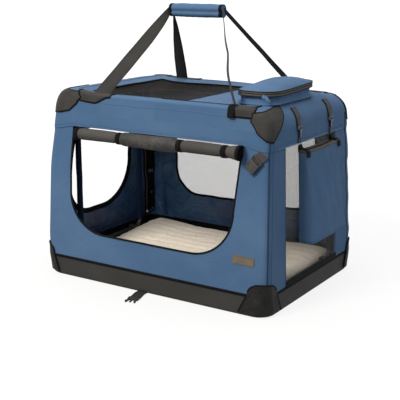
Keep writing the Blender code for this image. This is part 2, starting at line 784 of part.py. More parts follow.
def roll_stations(length, ties):
    """Stations along a rolled door, drawn in under each tie."""
    end = length / 2.0
    swell = ROLL_NECK_RUN + TIE_WIDTH / 2.0
    stations = [(-end, ROLL_RADIUS)]
    for place in ties:
        for shift, radius in ((-swell, ROLL_RADIUS), (-TIE_WIDTH / 2.0, ROLL_NECK),
                              (TIE_WIDTH / 2.0, ROLL_NECK), (swell, ROLL_RADIUS)):
            if abs(place + shift) < end - TIE_CLOTH:
                stations.append((place + shift, radius))
    stations.append((end, ROLL_RADIUS))
    return stations


def roll_offset():
    """Distance from the wall's face to the middle of a rolled door."""
    return ROLL_RADIUS + SEAM


def make_front_roll():
    """Front door rolled up over its opening, with its ties."""
    y = -(half_depth(ROLL_HEIGHT) + roll_offset())
    centre = (0.0, y, ROLL_HEIGHT)
    work = bmesh.new()
    ties = [share * ROLL_LENGTH for share in TIE_SHARES]
    turned_along(work, roll_stations(ROLL_LENGTH, ties), centre, "X")
    solid_object("door_roll_front", work, "net_black", centre)
    for number, place in enumerate(ties):
        make_tie("door_tie_%d" % (number + 1), centre, place)


def make_tie(name, centre, place):
    """Band of cloth round the rolled door."""
    inner = ROLL_NECK + GAP
    outer = inner + TIE_CLOTH
    half = TIE_WIDTH / 2.0 - GAP
    work = bmesh.new()
    rows = []
    for radius, shift in ((inner, -half), (outer, -half), (outer, half), (inner, half), (inner, -half)):
        row = []
        for step in range(ROUND_SIDES):
            angle = 2.0 * math.pi * step / ROUND_SIDES
            x, y, z = place + shift, radius * math.cos(angle), radius * math.sin(angle)
            row.append(Vector(centre) + Vector((x, y, z)))
        rows.append(row)
    stitch_rows(work, rows, closed=True)
    bmesh.ops.remove_doubles(work, verts=work.verts, dist=GAP / 10.0)
    solid_object(name, work, "cloth_dark", centre)


def make_left_roll():
    """Left end door rolled up over its opening."""
    x = -(half_length(ROLL_HEIGHT) + roll_offset())
    centre = (x, 0.0, ROLL_HEIGHT)
    work = bmesh.new()
    turned_along(work, roll_stations(END_ROLL_LENGTH, ()), centre, "Y")
    solid_object("door_roll_left", work, "net_black", centre)


def make_grip():
    """Padded grip that gathers the four straps."""
    centre = Vector((GRIP_CENTRE_X, 0.0, GRIP_HEIGHT))
    half = GRIP_LENGTH / 2.0
    work = bmesh.new()
    rows = []
    for along, share in GRIP_SHARES:
        row = []
        for step in range(ROUND_SIDES):
            angle = 2.0 * math.pi * step / ROUND_SIDES
            y = share * GRIP_DEEP / 2.0 * math.cos(angle)
            z = share * GRIP_TALL / 2.0 * math.sin(angle)
            row.append(centre + Vector((along * half, y, z)))
        rows.append(row)
    made = stitch_rows(work, rows, closed=True)
    work.faces.new(made[0])
    work.faces.new(list(reversed(made[-1])))
    solid_object("handle_grip", work, "cloth_blue", centre)


def make_handle_strap(side_x, side_y, name):
    """Webbing from the top edge of the crate to an end of the grip."""
    foot_x = STRAP_INSET_LEFT - END_X if side_x < 0 else END_X - STRAP_INSET_RIGHT
    high = CRATE_HEIGHT + GAP + (STRAP_CLOTH / 2.0 if side_y > 0 else 0.0)
    foot = Vector((foot_x, side_y * (half_depth(high) - STRAP_FOOT_INSET), high))
    end_x = GRIP_CENTRE_X + side_x * (GRIP_LENGTH / 2.0 + GAP + STRAP_CLOTH / 2.0)
    head = Vector((end_x, side_y * STRAP_TOP_INSET, GRIP_HEIGHT))
    run = head - foot
    flat = Vector((run.x, run.y, 0.0)).normalized()
    drop = Vector((0.0, 0.0, -GRIP_TALL / 4.0))
    if side_y < 0:
        across = flat * STRAP_WIDTH / 2.0
        across_head = Vector((0.0, flat.y * STRAP_TOP_INSET / 2.0, 0.0)) + drop
        normal = flat.cross(Vector((0.0, 0.0, 1.0))) * STRAP_CLOTH / 2.0
    else:
        across = Vector((STRAP_WIDTH / 2.0, 0.0, 0.0))
        across_head = Vector((0.0, -STRAP_TOP_INSET / 2.0, 0.0)) - drop
        normal = across.cross(run).normalized() * STRAP_CLOTH / 2.0
    thick_head = Vector((math.copysign(STRAP_CLOTH / 2.0, normal.x or 1.0), 0.0, 0.0))
    work = bmesh.new()
    rows = []
    for share in STRAP_SHARES:
        middle = foot + run * share
        reach = across.lerp(across_head, share)
        thick = normal.lerp(thick_head, share)
        near = [middle - reach - thick, middle + reach - thick]
        far = [middle + reach + thick, middle - reach + thick]
        rows.append(near + far)
    made = stitch_rows(work, rows, closed=True)
    work.faces.new(made[0])
    work.faces.new(list(reversed(made[-1])))
    solid_object("handle_strap_" + name, work, "webbing")


def pocket_plan(inset=0.0):
    """Rounded plan of the top pocket."""
    half_x = (POCKET_RIGHT - POCKET_LEFT) / 2.0 - inset
    half_y = (POCKET_BACK - POCKET_FRONT) / 2.0 - inset
    centre_x = (POCKET_RIGHT + POCKET_LEFT) / 2.0
    centre_y = (POCKET_BACK + POCKET_FRONT) / 2.0
    plan = rounded_rectangle(half_x, half_y, POCKET_ROUND - inset)
    return [(centre_x + x, centre_y + y) for x, y in plan]


def make_pocket():
    """Open cloth tray on the top panel, which the lid closes."""
    low = CRATE_HEIGHT + GAP
    work = bmesh.new()
    rows = [[Vector((x, y, height)) for x, y in pocket_plan()] for height in (low, low + POCKET_HEIGHT)]
    made = stitch_rows(work, rows, closed=True)
    work.faces.new(made[0])
    middle = Vector(((POCKET_LEFT + POCKET_RIGHT) / 2.0, (POCKET_FRONT + POCKET_BACK) / 2.0, 0.0))

    def outward(point):
        if point.z < low + GAP:
            return Vector((0.0, 0.0, -1.0))
        return Vector((point.x, point.y, 0.0)) - middle

    sheet_object("pocket_body", work, "cloth_blue", CLOTH, outward)


def make_lid():
    """Domed lid of the pocket, hinged along its left edge."""
    low = CRATE_HEIGHT + POCKET_HEIGHT + 2.0 * GAP
    centre_x = (POCKET_RIGHT + POCKET_LEFT) / 2.0
    centre_y = (POCKET_BACK + POCKET_FRONT) / 2.0
    work = bmesh.new()
    rows = [[Vector((x, y, height)) for x, y in pocket_plan()] for height in (low, low + LID_EDGE)]
    for share, rise in LID_DOME_SHARES:
        row = []
        high = low + LID_EDGE + LID_CROWN * rise
        for x, y in pocket_plan():
            row.append(Vector((centre_x + (x - centre_x) * share, centre_y + (y - centre_y) * share, high)))
        rows.append(row)
    made = stitch_rows(work, rows, closed=True)
    work.faces.new(made[0])
    work.faces.new(list(reversed(made[-1])))
    solid_object("pocket_lid", work, "cloth_blue", (POCKET_LEFT, centre_y, low))


def make_slider():
    """Zip slider with its pull on the front of the pocket."""
    high = CRATE_HEIGHT + POCKET_HEIGHT - GAP
    back = POCKET_FRONT - GAP
    work = bmesh.new()
    half = SLIDER_LENGTH / 2.0
    x = POCKET_RIGHT - SLIDER_INSET
    box(work, (x - half, back - SLIDER_THICK, high - SLIDER_TALL), (x + half, back, high))
    solid_object("pocket_zip_slider", work, "plastic", (x, back, high))


def bag_face(height, thick_share):
    """X of a point in the bag's thickness, 0 at its back and 1 at its front."""
    share = (height - BAG_LOW) / (BAG_TOP - BAG_LOW)
    thick = BAG_THICK_LOW + (BAG_THICK_TOP - BAG_THICK_LOW) * share
    return half_length(height) + BAG_OFF_WALL + thick * thick_share


def bag_outline(height, inset=0.0):
    """Plan outline of the bag at a height, with its outer corners cut."""
    back, front = bag_face(height, 0.0), bag_face(height, 1.0)
    cut = BAG_ROUND
    near, far = BAG_FRONT + inset, BAG_BACK - inset
    return [
        Vector((back, near, height)), Vector((front - cut, near, height)),
        Vector((front, near + cut, height)), Vector((front, far - cut, height)),
        Vector((front - cut, far, height)), Vector((back, far, height)),
    ]


def make_bag():
    """Storage bag on the right side, thicker at its foot."""
    work = bmesh.new()
    levels = ((BAG_LOW, BAG_ROUND), (BAG_LOW + BAG_ROUND, 0.0), (BAG_TOP - BAG_ROUND, 0.0), (BAG_TOP, 0.0))
    rows = [bag_outline(height, inset) for height, inset in levels]
    made = stitch_rows(work, rows, closed=True)
    work.faces.new(made[0])
    work.faces.new(list(reversed(made[-1])))
    solid_object("bag_body", work, "cloth_blue", bag_pivot())
    rim = bmesh.new()
    low = [point + Vector((0.0, 0.0, GAP)) for point in bag_outline(BAG_TOP)]
    high = [point + Vector((0.0, 0.0, BAG_RIM)) for point in low]
    made = stitch_rows(rim, [low, high], closed=True)
    rim.faces.new(made[0])
    rim.faces.new(list(reversed(made[-1])))
    solid_object("bag_zip_rim", rim, "cloth_dark", bag_pivot())


def hanger_line_x(height):
    """X of the webbing that hangs down the right side, outside the cover."""
    return half_length(height) + SKIRT_PROUD + SEAM


def tab_x():
    """X of the inner face of the bag's tabs."""
    return bag_face(BAG_TOP, 0.0) + BAG_TAB_THICK / 2.0


def tab_top():
    """Height of the top of the bag's tabs."""
    return BAG_TOP + BAG_RIM + 2.0 * GAP + BAG_TAB_TALL


def bag_pivot():
    """Line that the bag swings about, just under the top of its tabs."""
    reach = BAG_TAB_THICK / 2.0
    return (tab_x() + reach, (BAG_FRONT + BAG_BACK) / 2.0, tab_top() - reach)


def make_bag_tab(place, name):
    """Webbing tab with its ring on the bag's top edge."""
    high = tab_top()
    x = tab_x()
    half = HANGER_WIDTH / 2.0
    work = bmesh.new()
    box(work, (x, place - half, high - BAG_TAB_TALL), (x + BAG_TAB_THICK, place + half, high))
    solid_object("bag_tab_" + name, work, "webbing", bag_pivot())


def make_hanger(place, name):
    """Webbing sewn to the top edge, which carries the bag's hook."""
    work = bmesh.new()
    heights = [HANGER_LOW] + [height for height in cover_heights() if height < HANGER_TOP] + [HANGER_TOP]
    rows = []
    half = HANGER_WIDTH / 2.0
    for height in heights:
        inner = hanger_line_x(height)
        outer = inner + HANGER_CLOTH
        rows.append([
            Vector((inner, place - half, height)), Vector((inner, place + half, height)),
            Vector((outer, place + half, height)), Vector((outer, place - half, height)),
        ])
    made = stitch_rows(work, rows, closed=True)
    work.faces.new(made[0])
    work.faces.new(list(reversed(made[-1])))
    solid_object("hanger_" + name, work, "webbing", hanger_pivot())


def hanger_pivot():
    """Line along the top right edge that the hanging webbing swings about."""
    return (hanger_line_x(HANGER_TOP), (BAG_FRONT + BAG_BACK) / 2.0, HANGER_TOP)


def make_hook(place, name):
    """Snap hook between the hanging webbing and the bag's tab."""
    x = hanger_line_x(SKIRT_HEIGHT)
    half = HOOK_WIDTH / 2.0
    work = bmesh.new()
    low = tab_top() + 3.0 * GAP
    box(work, (x, place - half, low), (x + HOOK_THICK, place + half, HANGER_LOW - GAP))
    solid_object("snap_hook_" + name, work, "plastic", hanger_pivot())


def make_front_buckle():
    """Female buckle on a short webbing at the front's upper right."""
    left = END_X - BUCKLE_WEB_INSET
    sides = (left, left + BUCKLE_WEB_WIDTH)
    make_front_plate("buckle_webbing", sides, (BUCKLE_WEB_LOW, BUCKLE_WEB_TOP),
                     SKIRT_PROUD + GAP, STRAP_CLOTH, "webbing")
    near = left + BUCKLE_SHIFT
    high = BUCKLE_WEB_LOW - SEAM
    make_front_plate("buckle_female", (near, near + BUCKLE_WIDTH), (high - BUCKLE_TALL, high),
                     SKIRT_PROUD + GAP, BUCKLE_THICK, "plastic")


def make_stow_strap():
    """Strap from under the base with its male buckle, lying on the ground."""
    start = Vector((STOW_X, -(half_depth(0.0) - TRAY_EDGE + STOW_THICK + GAP), 0.0))
    run = Vector((STOW_DRIFT, -STOW_RUN, 0.0))
    heading = run.normalized()
    across = Vector((-heading.y, heading.x, 0.0))
    half = across * STOW_WIDTH / 2.0
    level = Vector((1.0, 0.0, 0.0)) * STOW_WIDTH / 2.0
    end = start + run
    work = bmesh.new()
    prism(work, [start - level, start + level, end + half, end - half], Vector((0.0, 0.0, STOW_THICK)))
    solid_object("stow_strap", work, "webbing")
    near = end + heading * GAP
    far = near + heading * PRONG_BODY_LENGTH
    tip = far + heading * PRONG_LENGTH
    outline = [near - half, near + half, far + half]
    prong = across * PRONG_WIDTH
    outline += [tip + half - prong / 2.0, tip + half - prong, far + half - prong]
    outline += [far + prong / 3.0, tip + prong / 3.0, tip - prong / 3.0, far - prong / 3.0]
    outline += [far - half + prong, tip - half + prong, tip - half + prong / 2.0, far - half]
    work = bmesh.new()
    prism(work, outline, Vector((0.0, 0.0, PRONG_THICK)))
    solid_object("stow_buckle_male", work, "plastic")


def make_front_plate(name, sides, heights, out, thickness, slot):
    """Flat plate that lies along the leaning front wall."""
    work = bmesh.new()
    rows = [[wall_point("front", x, height, out) for x in sides] for height in heights]
    stitch_rows(work, rows)
    sheet_object(name, work, slot, thickness, from_middle, grow=1.0)


def make_label():
    """Bare label plate on the front, lower right."""
    left = END_X - LABEL_INSET
    low = TRAY_HEIGHT + LABEL_RISE
    sides = (left, left + LABEL_LENGTH)
    make_front_plate("label_blank", sides, (low, low + LABEL_TALL), GAP, LABEL_THICK, "label")


def corners():
    """The four corners as signs and a name."""
    for side_y, depth_name in ((-1, "front"), (1, "rear")):
        for side_x, length_name in ((-1, "left"), (1, "right")):
            yield side_x, side_y, depth_name + "_" + length_name


def build():
    """Model every piece of the crate."""
    clear_scene()
    make_tray()
    make_tube_ring("base_frame", BASE_TUBE_LENGTH, BASE_TUBE_DEPTH, BASE_TUBE_HEIGHT)
    make_board()
    make_mat()
    for face in ("front", "back", "left", "right"):
        make_wall(face)
    make_window_net("back", NET_BACK_GAPS, BACK_WINDOW_WIDTH, BACK_WINDOW_LOW, BACK_WINDOW_ROUND, "net_grey")
    make_window_net("right", NET_SIDE_GAPS, SIDE_WINDOW_WIDTH, SIDE_WINDOW_LOW, SIDE_WINDOW_ROUND, "net_grey")
    make_end_frame(-1, "left")
    make_end_frame(1, "right")
    make_cover()
    make_top_net()
    make_tube_ring("top_frame", TOP_TUBE_LENGTH, TOP_TUBE_DEPTH, TOP_TUBE_HEIGHT)
    for side_x, side_y, name in corners():
        make_boot(side_x, side_y, name)
        make_saddle(side_x, side_y, name)
        make_catch(side_x, side_y, name)
        make_corner_patch(side_x, side_y, name)
        make_handle_strap(side_x, side_y, name)
    make_grip()
    make_front_roll()
    make_left_roll()
    make_pocket()
    make_lid()
    make_slider()
    make_bag()
    places = (BAG_FRONT + HANGER_INSET_FRONT, BAG_BACK - HANGER_INSET_REAR)
    for place, name in zip(places, ("front", "rear")):
        make_hanger(place, name)
        make_hook(place, name)
        make_bag_tab(place, name)
    make_front_buckle()
    make_stow_strap()
    make_label()


build()
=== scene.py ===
"""Looks of the soft folding dog crate, sewn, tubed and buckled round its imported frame.

Every length is in metres, in the frame of the CAD: X runs along the crate, -Y is the
front, +X is the side that carries the bag, and the crate stands on z = 0.
"""
import itertools
import json
import logging
import math
from collections.abc import Sequence
from dataclasses import dataclass, field
from enum import Enum
from functools import cached_property

import bmesh
import bpy
import numpy as np
from mathutils import Matrix, Vector

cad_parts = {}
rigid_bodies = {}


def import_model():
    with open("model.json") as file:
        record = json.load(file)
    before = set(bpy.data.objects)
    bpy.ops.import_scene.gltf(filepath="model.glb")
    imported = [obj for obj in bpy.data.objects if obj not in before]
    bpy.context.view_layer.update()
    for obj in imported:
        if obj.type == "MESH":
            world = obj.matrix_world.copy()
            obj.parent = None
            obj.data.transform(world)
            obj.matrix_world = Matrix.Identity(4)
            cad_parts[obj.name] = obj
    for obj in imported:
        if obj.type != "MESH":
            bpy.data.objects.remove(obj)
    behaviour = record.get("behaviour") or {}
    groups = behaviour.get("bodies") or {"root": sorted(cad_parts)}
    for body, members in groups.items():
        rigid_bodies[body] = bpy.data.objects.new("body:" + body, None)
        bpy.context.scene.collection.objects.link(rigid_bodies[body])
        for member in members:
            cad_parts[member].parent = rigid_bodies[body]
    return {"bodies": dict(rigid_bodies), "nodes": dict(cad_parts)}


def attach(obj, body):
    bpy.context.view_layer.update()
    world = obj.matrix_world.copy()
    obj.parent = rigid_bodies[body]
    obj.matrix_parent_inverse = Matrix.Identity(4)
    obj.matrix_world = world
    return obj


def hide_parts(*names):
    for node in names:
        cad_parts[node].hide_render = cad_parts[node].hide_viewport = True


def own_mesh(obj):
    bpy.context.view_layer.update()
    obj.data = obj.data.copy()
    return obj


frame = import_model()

log = logging.getLogger("crate")
CLOTH_MAP = "cloth"
Array = np.ndarray
Colour = tuple[float, float, float]
Triple = tuple[float, float, float]
Bar = tuple[Triple, Triple, float]
Pair = tuple[float, float]
Pairs = tuple[Pair, ...]
Side = tuple[int, int]
Socket = bpy.types.NodeSocket
X, Y, Z = np.eye(3)
OUT = {"front": -Y, "back": Y, "left": -X, "right": X}
CORNERS = {(-1, -1): "front_left", (1, -1): "front_right", (-1, 1): "rear_left", (1, 1): "rear_right"}
QUARTER = math.pi / 2.0
FULL = math.pi * 2.0
TINY = 1e-12
WELD = 0.000002


# ---------------------------------------------------------------- shapes of cloth

def spots(*parts: Array | float) -> Array:
    """Points from their coordinates, each a number or an array."""
    return np.stack(np.broadcast_arrays(*(np.asarray(part, float) for part in parts)), axis=-1)


def grid(across: Array, along: Array) -> Array:
    """Pairs of numbers, a row for each value along and a column for each across."""
    return np.stack(np.meshgrid(across, along), axis=-1)


def unit(rows: Array) -> Array:
    """The same directions at length 1."""
    return rows / np.maximum(np.linalg.norm(rows, axis=-1, keepdims=True), TINY)


def noise(points: Array, scale: Sequence[float] | float, seed: int) -> Array:
    """Smooth noise over space, the same on every run.

    Args:
        points: Places, with x, y and z on the last axis.
        scale: Size of a bump, one number or one for each direction.
        seed: Picks another noise of the same kind.

    Returns:
        Values from -1 to 1, one for each place.
    """
    place = np.asarray(points, float) / np.asarray(scale, float) + seed * 17.31
    low = np.floor(place).astype(np.int64)
    part = place - low
    ease = part * part * (3.0 - 2.0 * part)
    total = np.zeros(place.shape[:-1])
    for corner in itertools.product((0, 1), repeat=3):
        key = low + np.array(corner)
        mixed = (key[..., 0] * 73856093) ^ (key[..., 1] * 19349663) ^ (key[..., 2] * 83492791)
        mixed = (mixed ^ (mixed >> 13)) * 1274126177
        value = ((mixed & 0x7FFFFFFF) / 0x3FFFFFFF) - 1.0
        total += value * np.prod(np.where(np.array(corner) == 1, ease, 1.0 - ease), axis=-1)
    return total


@dataclass(frozen=True)
class Swell:
    """Uneven rise of cloth: the size of its bumps, the seed of its noise, and its depth."""

    size: float | Triple
    seed: int
    depth: float

    def at(self, points: Array) -> Array:
        """Rise at some points, with x, y and z on their last axis."""
        return noise(points, self.size, self.seed) * self.depth


def ease_in(value: Array | float, start: float, end: float) -> Array:
    """Share that rises smoothly from 0 at start to 1 at end."""
    share = np.clip((np.asarray(value, float) - start) / (end - start), 0.0, 1.0)
    return share * share * (3.0 - 2.0 * share)


def arch(share: Array | float) -> Array:
    """Half a wave: 0 at a share of 0 and of 1, and 1 halfway."""
    return np.sin(math.pi * share)


def run_of(points: Array) -> Array:
    """Distance along a line of points, at each of them."""
    return np.concatenate([[0.0], np.cumsum(np.linalg.norm(np.diff(points, axis=0), axis=1))])


def columns_at(at: Array, along: Array, points: Array) -> Array:
    """Points read off a line at some distances along it."""
    return np.stack([np.interp(at, along, column) for column in points.T], axis=1)


def resample(points: Array, step: float) -> Array:
    """Points spaced evenly along a line of points, its two ends among them."""
    points = np.asarray(points, float)
    along = run_of(points)
    return columns_at(np.linspace(0.0, along[-1], max(2, int(round(along[-1] / step)) + 1)), along, points)


def grid_normals(rows: Array, closed: bool = False) -> Array:
    """Unit normals of a grid of points, along rows crossed with across them."""
    along = np.gradient(rows, axis=1)
    if closed:
        along = (np.roll(rows, -1, axis=1) - np.roll(rows, 1, axis=1)) / 2.0
    return unit(np.cross(along, np.gradient(rows, axis=0)))


def looks_against(rows: Array, direction: Array, closed: bool = False) -> bool:
    """Whether a grid's faces look against a direction at its middle, so that they need a flip."""
    normal = grid_normals(rows, closed)[rows.shape[0] // 2, rows.shape[1] // 2]
    return not normal @ np.asarray(direction, float) > 0.0


def rim(rows: Array, closed: bool = False) -> Array:
    """A grid's edge: down its first column, along its first row, up its last column, and back if closed."""
    return np.concatenate([rows[::-1, 0], rows[0, 1:-1], rows[:, -1]] + [rows[-1, -2:0:-1]] * closed)


def rectangle(low: Array, high: Array) -> Array:
    """Rectangle from its lowest corner round to it again."""
    return np.array([low, (high[0], low[1]), high, (low[0], high[1]), low])


class Sewing:
    """Gathers strips, tubes, tapes and moulded blocks, and makes them into one piece."""

    def __init__(self) -> None:
        """Start with nothing."""
        self.points: list[Array] = []
        self.faces: list[list[int]] = []
        self.maps: list[Array] = []
        self.marks: list[int] = []
        self.count = 0

    def add(self, points: Array, faces: list[list[int]], cloth: Array, mark: int) -> None:
        """Take in a shape.

        Args:
            points: Its points.
            faces: Its faces, which count from the first of them.
            cloth: Place of each face's corners on the flat cloth.
            mark: Which of the piece's materials it takes.
        """
        self.points.append(np.asarray(points, float))
        self.faces += [[self.count + k for k in face] for face in faces]
        self.maps.append(np.asarray(cloth, float))
        self.marks += [mark] * len(faces)
        self.count += len(points)

    def strip(self, rows: Array, mark: int = 0, closed: bool = False, flip: bool = False,
              cloth: Array | None = None) -> None:
        """Join a grid of points with quads.

        Args:
            rows: Grid of points, rows by columns by three.
            mark: Which of the piece's materials it takes.
            closed: Whether each row is a loop.
            flip: Whether the faces look the other way.
            cloth: Place of each point on the flat cloth, in metres, or None to measure it.
        """
        rows = np.asarray(rows, float)
        tall, wide = rows.shape[:2]
        if cloth is None:
            cloth = self.flat_cloth(rows, closed)
        i, j = np.meshgrid(np.arange(tall - 1), np.arange(wide if closed else wide - 1), indexing="ij")
        after = (j + 1) % wide
        quad = spots(i * wide + j, i * wide + after, (i + 1) * wide + after, (i + 1) * wide + j)
        quad = quad.astype(int).reshape(-1, 4)
        spot = np.stack([cloth[i, j], cloth[i, j + 1], cloth[i + 1, j + 1], cloth[i + 1, j]], axis=-2)
        spot = spot.reshape(-1, 4, 2)
        if flip:
            quad, spot = quad[:, ::-1], spot[:, ::-1]
        self.add(rows.reshape(-1, 3), quad.tolist(), spot.reshape(-1, 2), mark)

    @staticmethod
    def flat_cloth(rows: Array, closed: bool) -> Array:
        """Place of each point of a grid on the flat cloth, in metres."""
        wide = np.concatenate([rows, rows[:, :1]], axis=1) if closed else rows
        steps = (np.linalg.norm(np.diff(line, axis=axis), axis=2).mean(axis=1 - axis)
                 for line, axis in ((wide, 1), (rows, 0)))
        return grid(*(np.concatenate([[0.0], np.cumsum(step)]) for step in steps))

    def sheet(self, rows: Array, thick: float, marks: tuple[int, int] = (0, 0), closed: bool = False,
              flip: bool = False, cloth: Array | None = None) -> Array:
        """Cloth of a real thickness, with its rim closed.

        Args:
            rows: Grid of points of the outer face.
            thick: Thickness, towards the inside.
            marks: Materials of the outer and the inner face.
            closed: Whether each row is a loop.
            flip: Whether the outer face looks against the grid's own normals.
            cloth: Place of each point on the flat cloth, or None to measure it.

        Returns:
            The normals that look outwards.
        """
        rows = np.asarray(rows, float)
        normal = grid_normals(rows, closed) * (-1.0 if flip else 1.0)
        inner = rows - normal * thick
        self.strip(rows, marks[0], closed, flip, cloth)
        self.strip(inner, marks[1], closed, not flip, cloth)
        self.strip(np.stack([inner[0], rows[0]]), marks[0], closed, flip)
        self.strip(np.stack([rows[-1], inner[-1]]), marks[0], closed, flip)
        if not closed:
            self.strip(np.stack([rows[:, 0], inner[:, 0]]), marks[0], False, flip)
            self.strip(np.stack([inner[:, -1], rows[:, -1]]), marks[0], False, flip)
        return normal

    def sweep(self, path: Array, out: Array, profile: Array, mark: int, closed: bool) -> None:
        """Draw a closed outline along a path.

        Args:
            path: Points of the path.
            out: Direction of the outline's height at each point, or one for all.
            profile: Outline, pairs of width and height.
            mark: Which of the piece's materials it takes.
            closed: Whether the path is a loop.
        """
        path = np.asarray(path, float)
        ends = np.roll(path, -1, axis=0) - np.roll(path, 1, axis=0)
        along = unit(ends if closed else np.gradient(path, axis=0))
        up = np.broadcast_to(np.asarray(out, float), path.shape)
        up = unit(up - along * (up * along).sum(axis=1, keepdims=True))
        side = np.cross(along, up)
        rows = path[:, None] + side[:, None] * profile[None, :, :1] + up[:, None] * profile[None, :, 1:]
        if closed:
            rows = np.concatenate([rows, rows[:1]], axis=0)
        self.strip(rows, mark, closed=True, flip=True)
        if not closed:
            self.cap(rows[0], mark, False)
            self.cap(rows[-1], mark, True)

    def tube(self, path: Array, out: Array, radius: float, mark: int = 0, closed: bool = False, sides: int = 6,
             flat: float = 1.0) -> None:
        """Round or oval cord along a path.

        Args:
            path: Points of the path.
            out: Direction of its height.
            radius: Half of its width.
            mark: Which of the piece's materials it takes.
            closed: Whether the path is a loop.
            sides: Number of its faces round.
            flat: Its height for a width of 1.
        """
        turn = FULL * np.arange(sides) / sides
        self.sweep(path, out, spots(radius * np.cos(turn), radius * flat * np.sin(turn)), mark, closed)

    def tape(self, path: Array, out: Array, width: float, thick: float, mark: int = 0, closed: bool = False,
             sink: float = 0.0) -> None:
        """Flat tape with rounded edges along a path.

        Args:
            path: Points of the path.
            out: Direction that it looks in.
            width: Its width.
            thick: Its thickness.
            mark: Which of the piece's materials it takes.
            closed: Whether the path is a loop.
            sink: How far its lower face lies under the path.
        """
        half, edge = width / 2.0, min(thick, width) * 0.3
        side = [(half - edge, 0.0), (half, edge), (half, thick - edge), (half - edge, thick)]
        self.sweep(path, out, np.array(side + [(-x, z) for x, z in reversed(side)]) - (0.0, sink), mark, closed)

    def cap(self, loop: Array, mark: int, flip: bool) -> None:
        """Close a loop of points with one face.

        Args:
            loop: Its points.
            mark: Which of the piece's materials it takes.
            flip: Whether the face looks the other way.
        """
        face = list(range(len(loop)))[::-1 if flip else 1]
        flat = loop[face] - loop.mean(axis=0)
        axis = unit(flat[0])
        rest = flat - np.outer(flat @ axis, axis)
        far = unit(rest[np.argmax(np.linalg.norm(rest, axis=1))])
        self.add(loop, [face], spots(flat @ axis, flat @ far), mark)

    def tube_of(self, rows: Array, out: Array) -> None:
        """Closed loft of loops, capped at both ends, that looks along a direction at its middle."""
        flip = looks_against(rows, out, closed=True)
        self.strip(rows, 0, closed=True, flip=flip)
        self.cap(rows[0], 0, not flip)
        self.cap(rows[-1], 0, flip)

    def stitches(self, path: Array, out: Array, mark: int, lift: float = 0.0003, length: float = 0.0032,
                 gap: float = 0.0016, thick: float = 0.0007) -> None:
        """Run of sewn stitches along a path that lies on the cloth.

        Args:
            path: Points of the path.
            out: Direction out of the cloth, at each point or one for all.
            mark: Which of the piece's materials they take.
            lift: How far they lie over the path.
            length: Length of one stitch.
            gap: Distance between two.
            thick: Thickness of the thread.
        """
        path = np.asarray(path, float)
        along = run_of(path)
        count = int(along[-1] / (length + gap))
        if count < 1:
            return
        start = np.arange(count) * (length + gap) + gap / 2.0
        ends = [columns_at(start + length * share, along, path) for share in (0.0, 0.25, 0.75, 1.0)]
        up = columns_at(start + length / 2.0, along, np.broadcast_to(np.asarray(out, float), path.shape))
        side, rise = np.cross(unit(ends[3] - ends[0]), up) * thick / 2.0, up * thick / 2.0
        dip, top = lift - 0.0006, lift + thick * 0.3
        rows = [[end + up * high + side, end + up * high + rise, end + up * high - side]
                for end, high in zip(ends, (dip, top, top, dip))]
        faces = [[0, 1, 2], [11, 10, 9]]
        for low in (0, 3, 6):
            faces += [[low + a, low + 3 + a, low + 3 + b, low + b] for a, b in ((0, 1), (1, 2), (2, 0))]
        every = [[12 * n + k for k in face] for n in range(count) for face in faces]
        corners = count * sum(len(face) for face in faces)
        self.add(np.array(rows).transpose(2, 0, 1, 3).reshape(-1, 3), every,
                 np.tile(np.array([[0.0, 0.0], [0.001, 0.0005]]), (corners // 2, 1)), mark)

    def block(self, size: Sequence[float], place: Matrix | Sequence[float], bevel: float, mark: int = 0) -> None:
        """Moulded block with rounded edges.

        Args:
            size: Its lengths.
            place: Its middle, or the matrix that places and turns it.
            bevel: Radius of its edges.
            mark: Which of the piece's materials it takes.
        """
        work = bmesh.new()
        bmesh.ops.create_cube(work, size=1.0)
        bmesh.ops.scale(work, vec=size, verts=work.verts)
        self.take(work, place if isinstance(place, Matrix) else Matrix.Translation(place), bevel, mark)

    def blocks(self, bars: Sequence[Bar], base: Matrix) -> None:
        """Moulded blocks on a base, each with its size, its place there and its bevel."""
        for size, place, bevel in bars:
            self.block(size, base @ Matrix.Translation(place), bevel)

    def plate(self, outline: Sequence[Sequence[float]], thick: float, matrix: Matrix, bevel: float) -> None:
        """Flat moulded plate with rounded edges.

        Args:
            outline: Its outline, in its own XY plane.
            thick: Its height over that plane.
            matrix: Its place and turn.
            bevel: Radius of its edges.
        """
        work = bmesh.new()
        face = work.faces.new([work.verts.new((x, y, 0.0)) for x, y in outline])
        if face.normal.z < 0.0:
            face.normal_flip()
        grown = bmesh.ops.extrude_face_region(work, geom=[face])
        for item in grown["geom"]:
            if isinstance(item, bmesh.types.BMVert):
                item.co.z += thick
        bmesh.ops.recalc_face_normals(work, faces=work.faces)
        self.take(work, matrix, bevel, 0)

    def take(self, work: bmesh.types.BMesh, matrix: Matrix, bevel: float, mark: int) -> None:
        """Round a moulding's edges and take it in.

        Args:
            work: The moulding, which is freed.
            matrix: Its place and turn.
            bevel: Radius of its edges.
            mark: Which of the piece's materials it takes.
        """
        sharp = [edge for edge in work.edges if edge.calc_face_angle(0.0) > 0.4]
        bmesh.ops.bevel(work, geom=sharp, offset=bevel, segments=2, profile=0.6, affect="EDGES")
        bmesh.ops.recalc_face_normals(work, faces=work.faces)
        work.transform(matrix)
        work.verts.index_update()
        places = []
        for face in work.faces:
            flat = np.argsort(-np.abs(np.array(face.normal)), kind="stable")[1:]
            places += [[vert.co[k] for k in sorted(flat)] for vert in face.verts]
        self.add(np.array([vert.co for vert in work.verts]),
                 [[vert.index for vert in face.verts] for face in work.faces], np.array(places), mark)
        work.free()

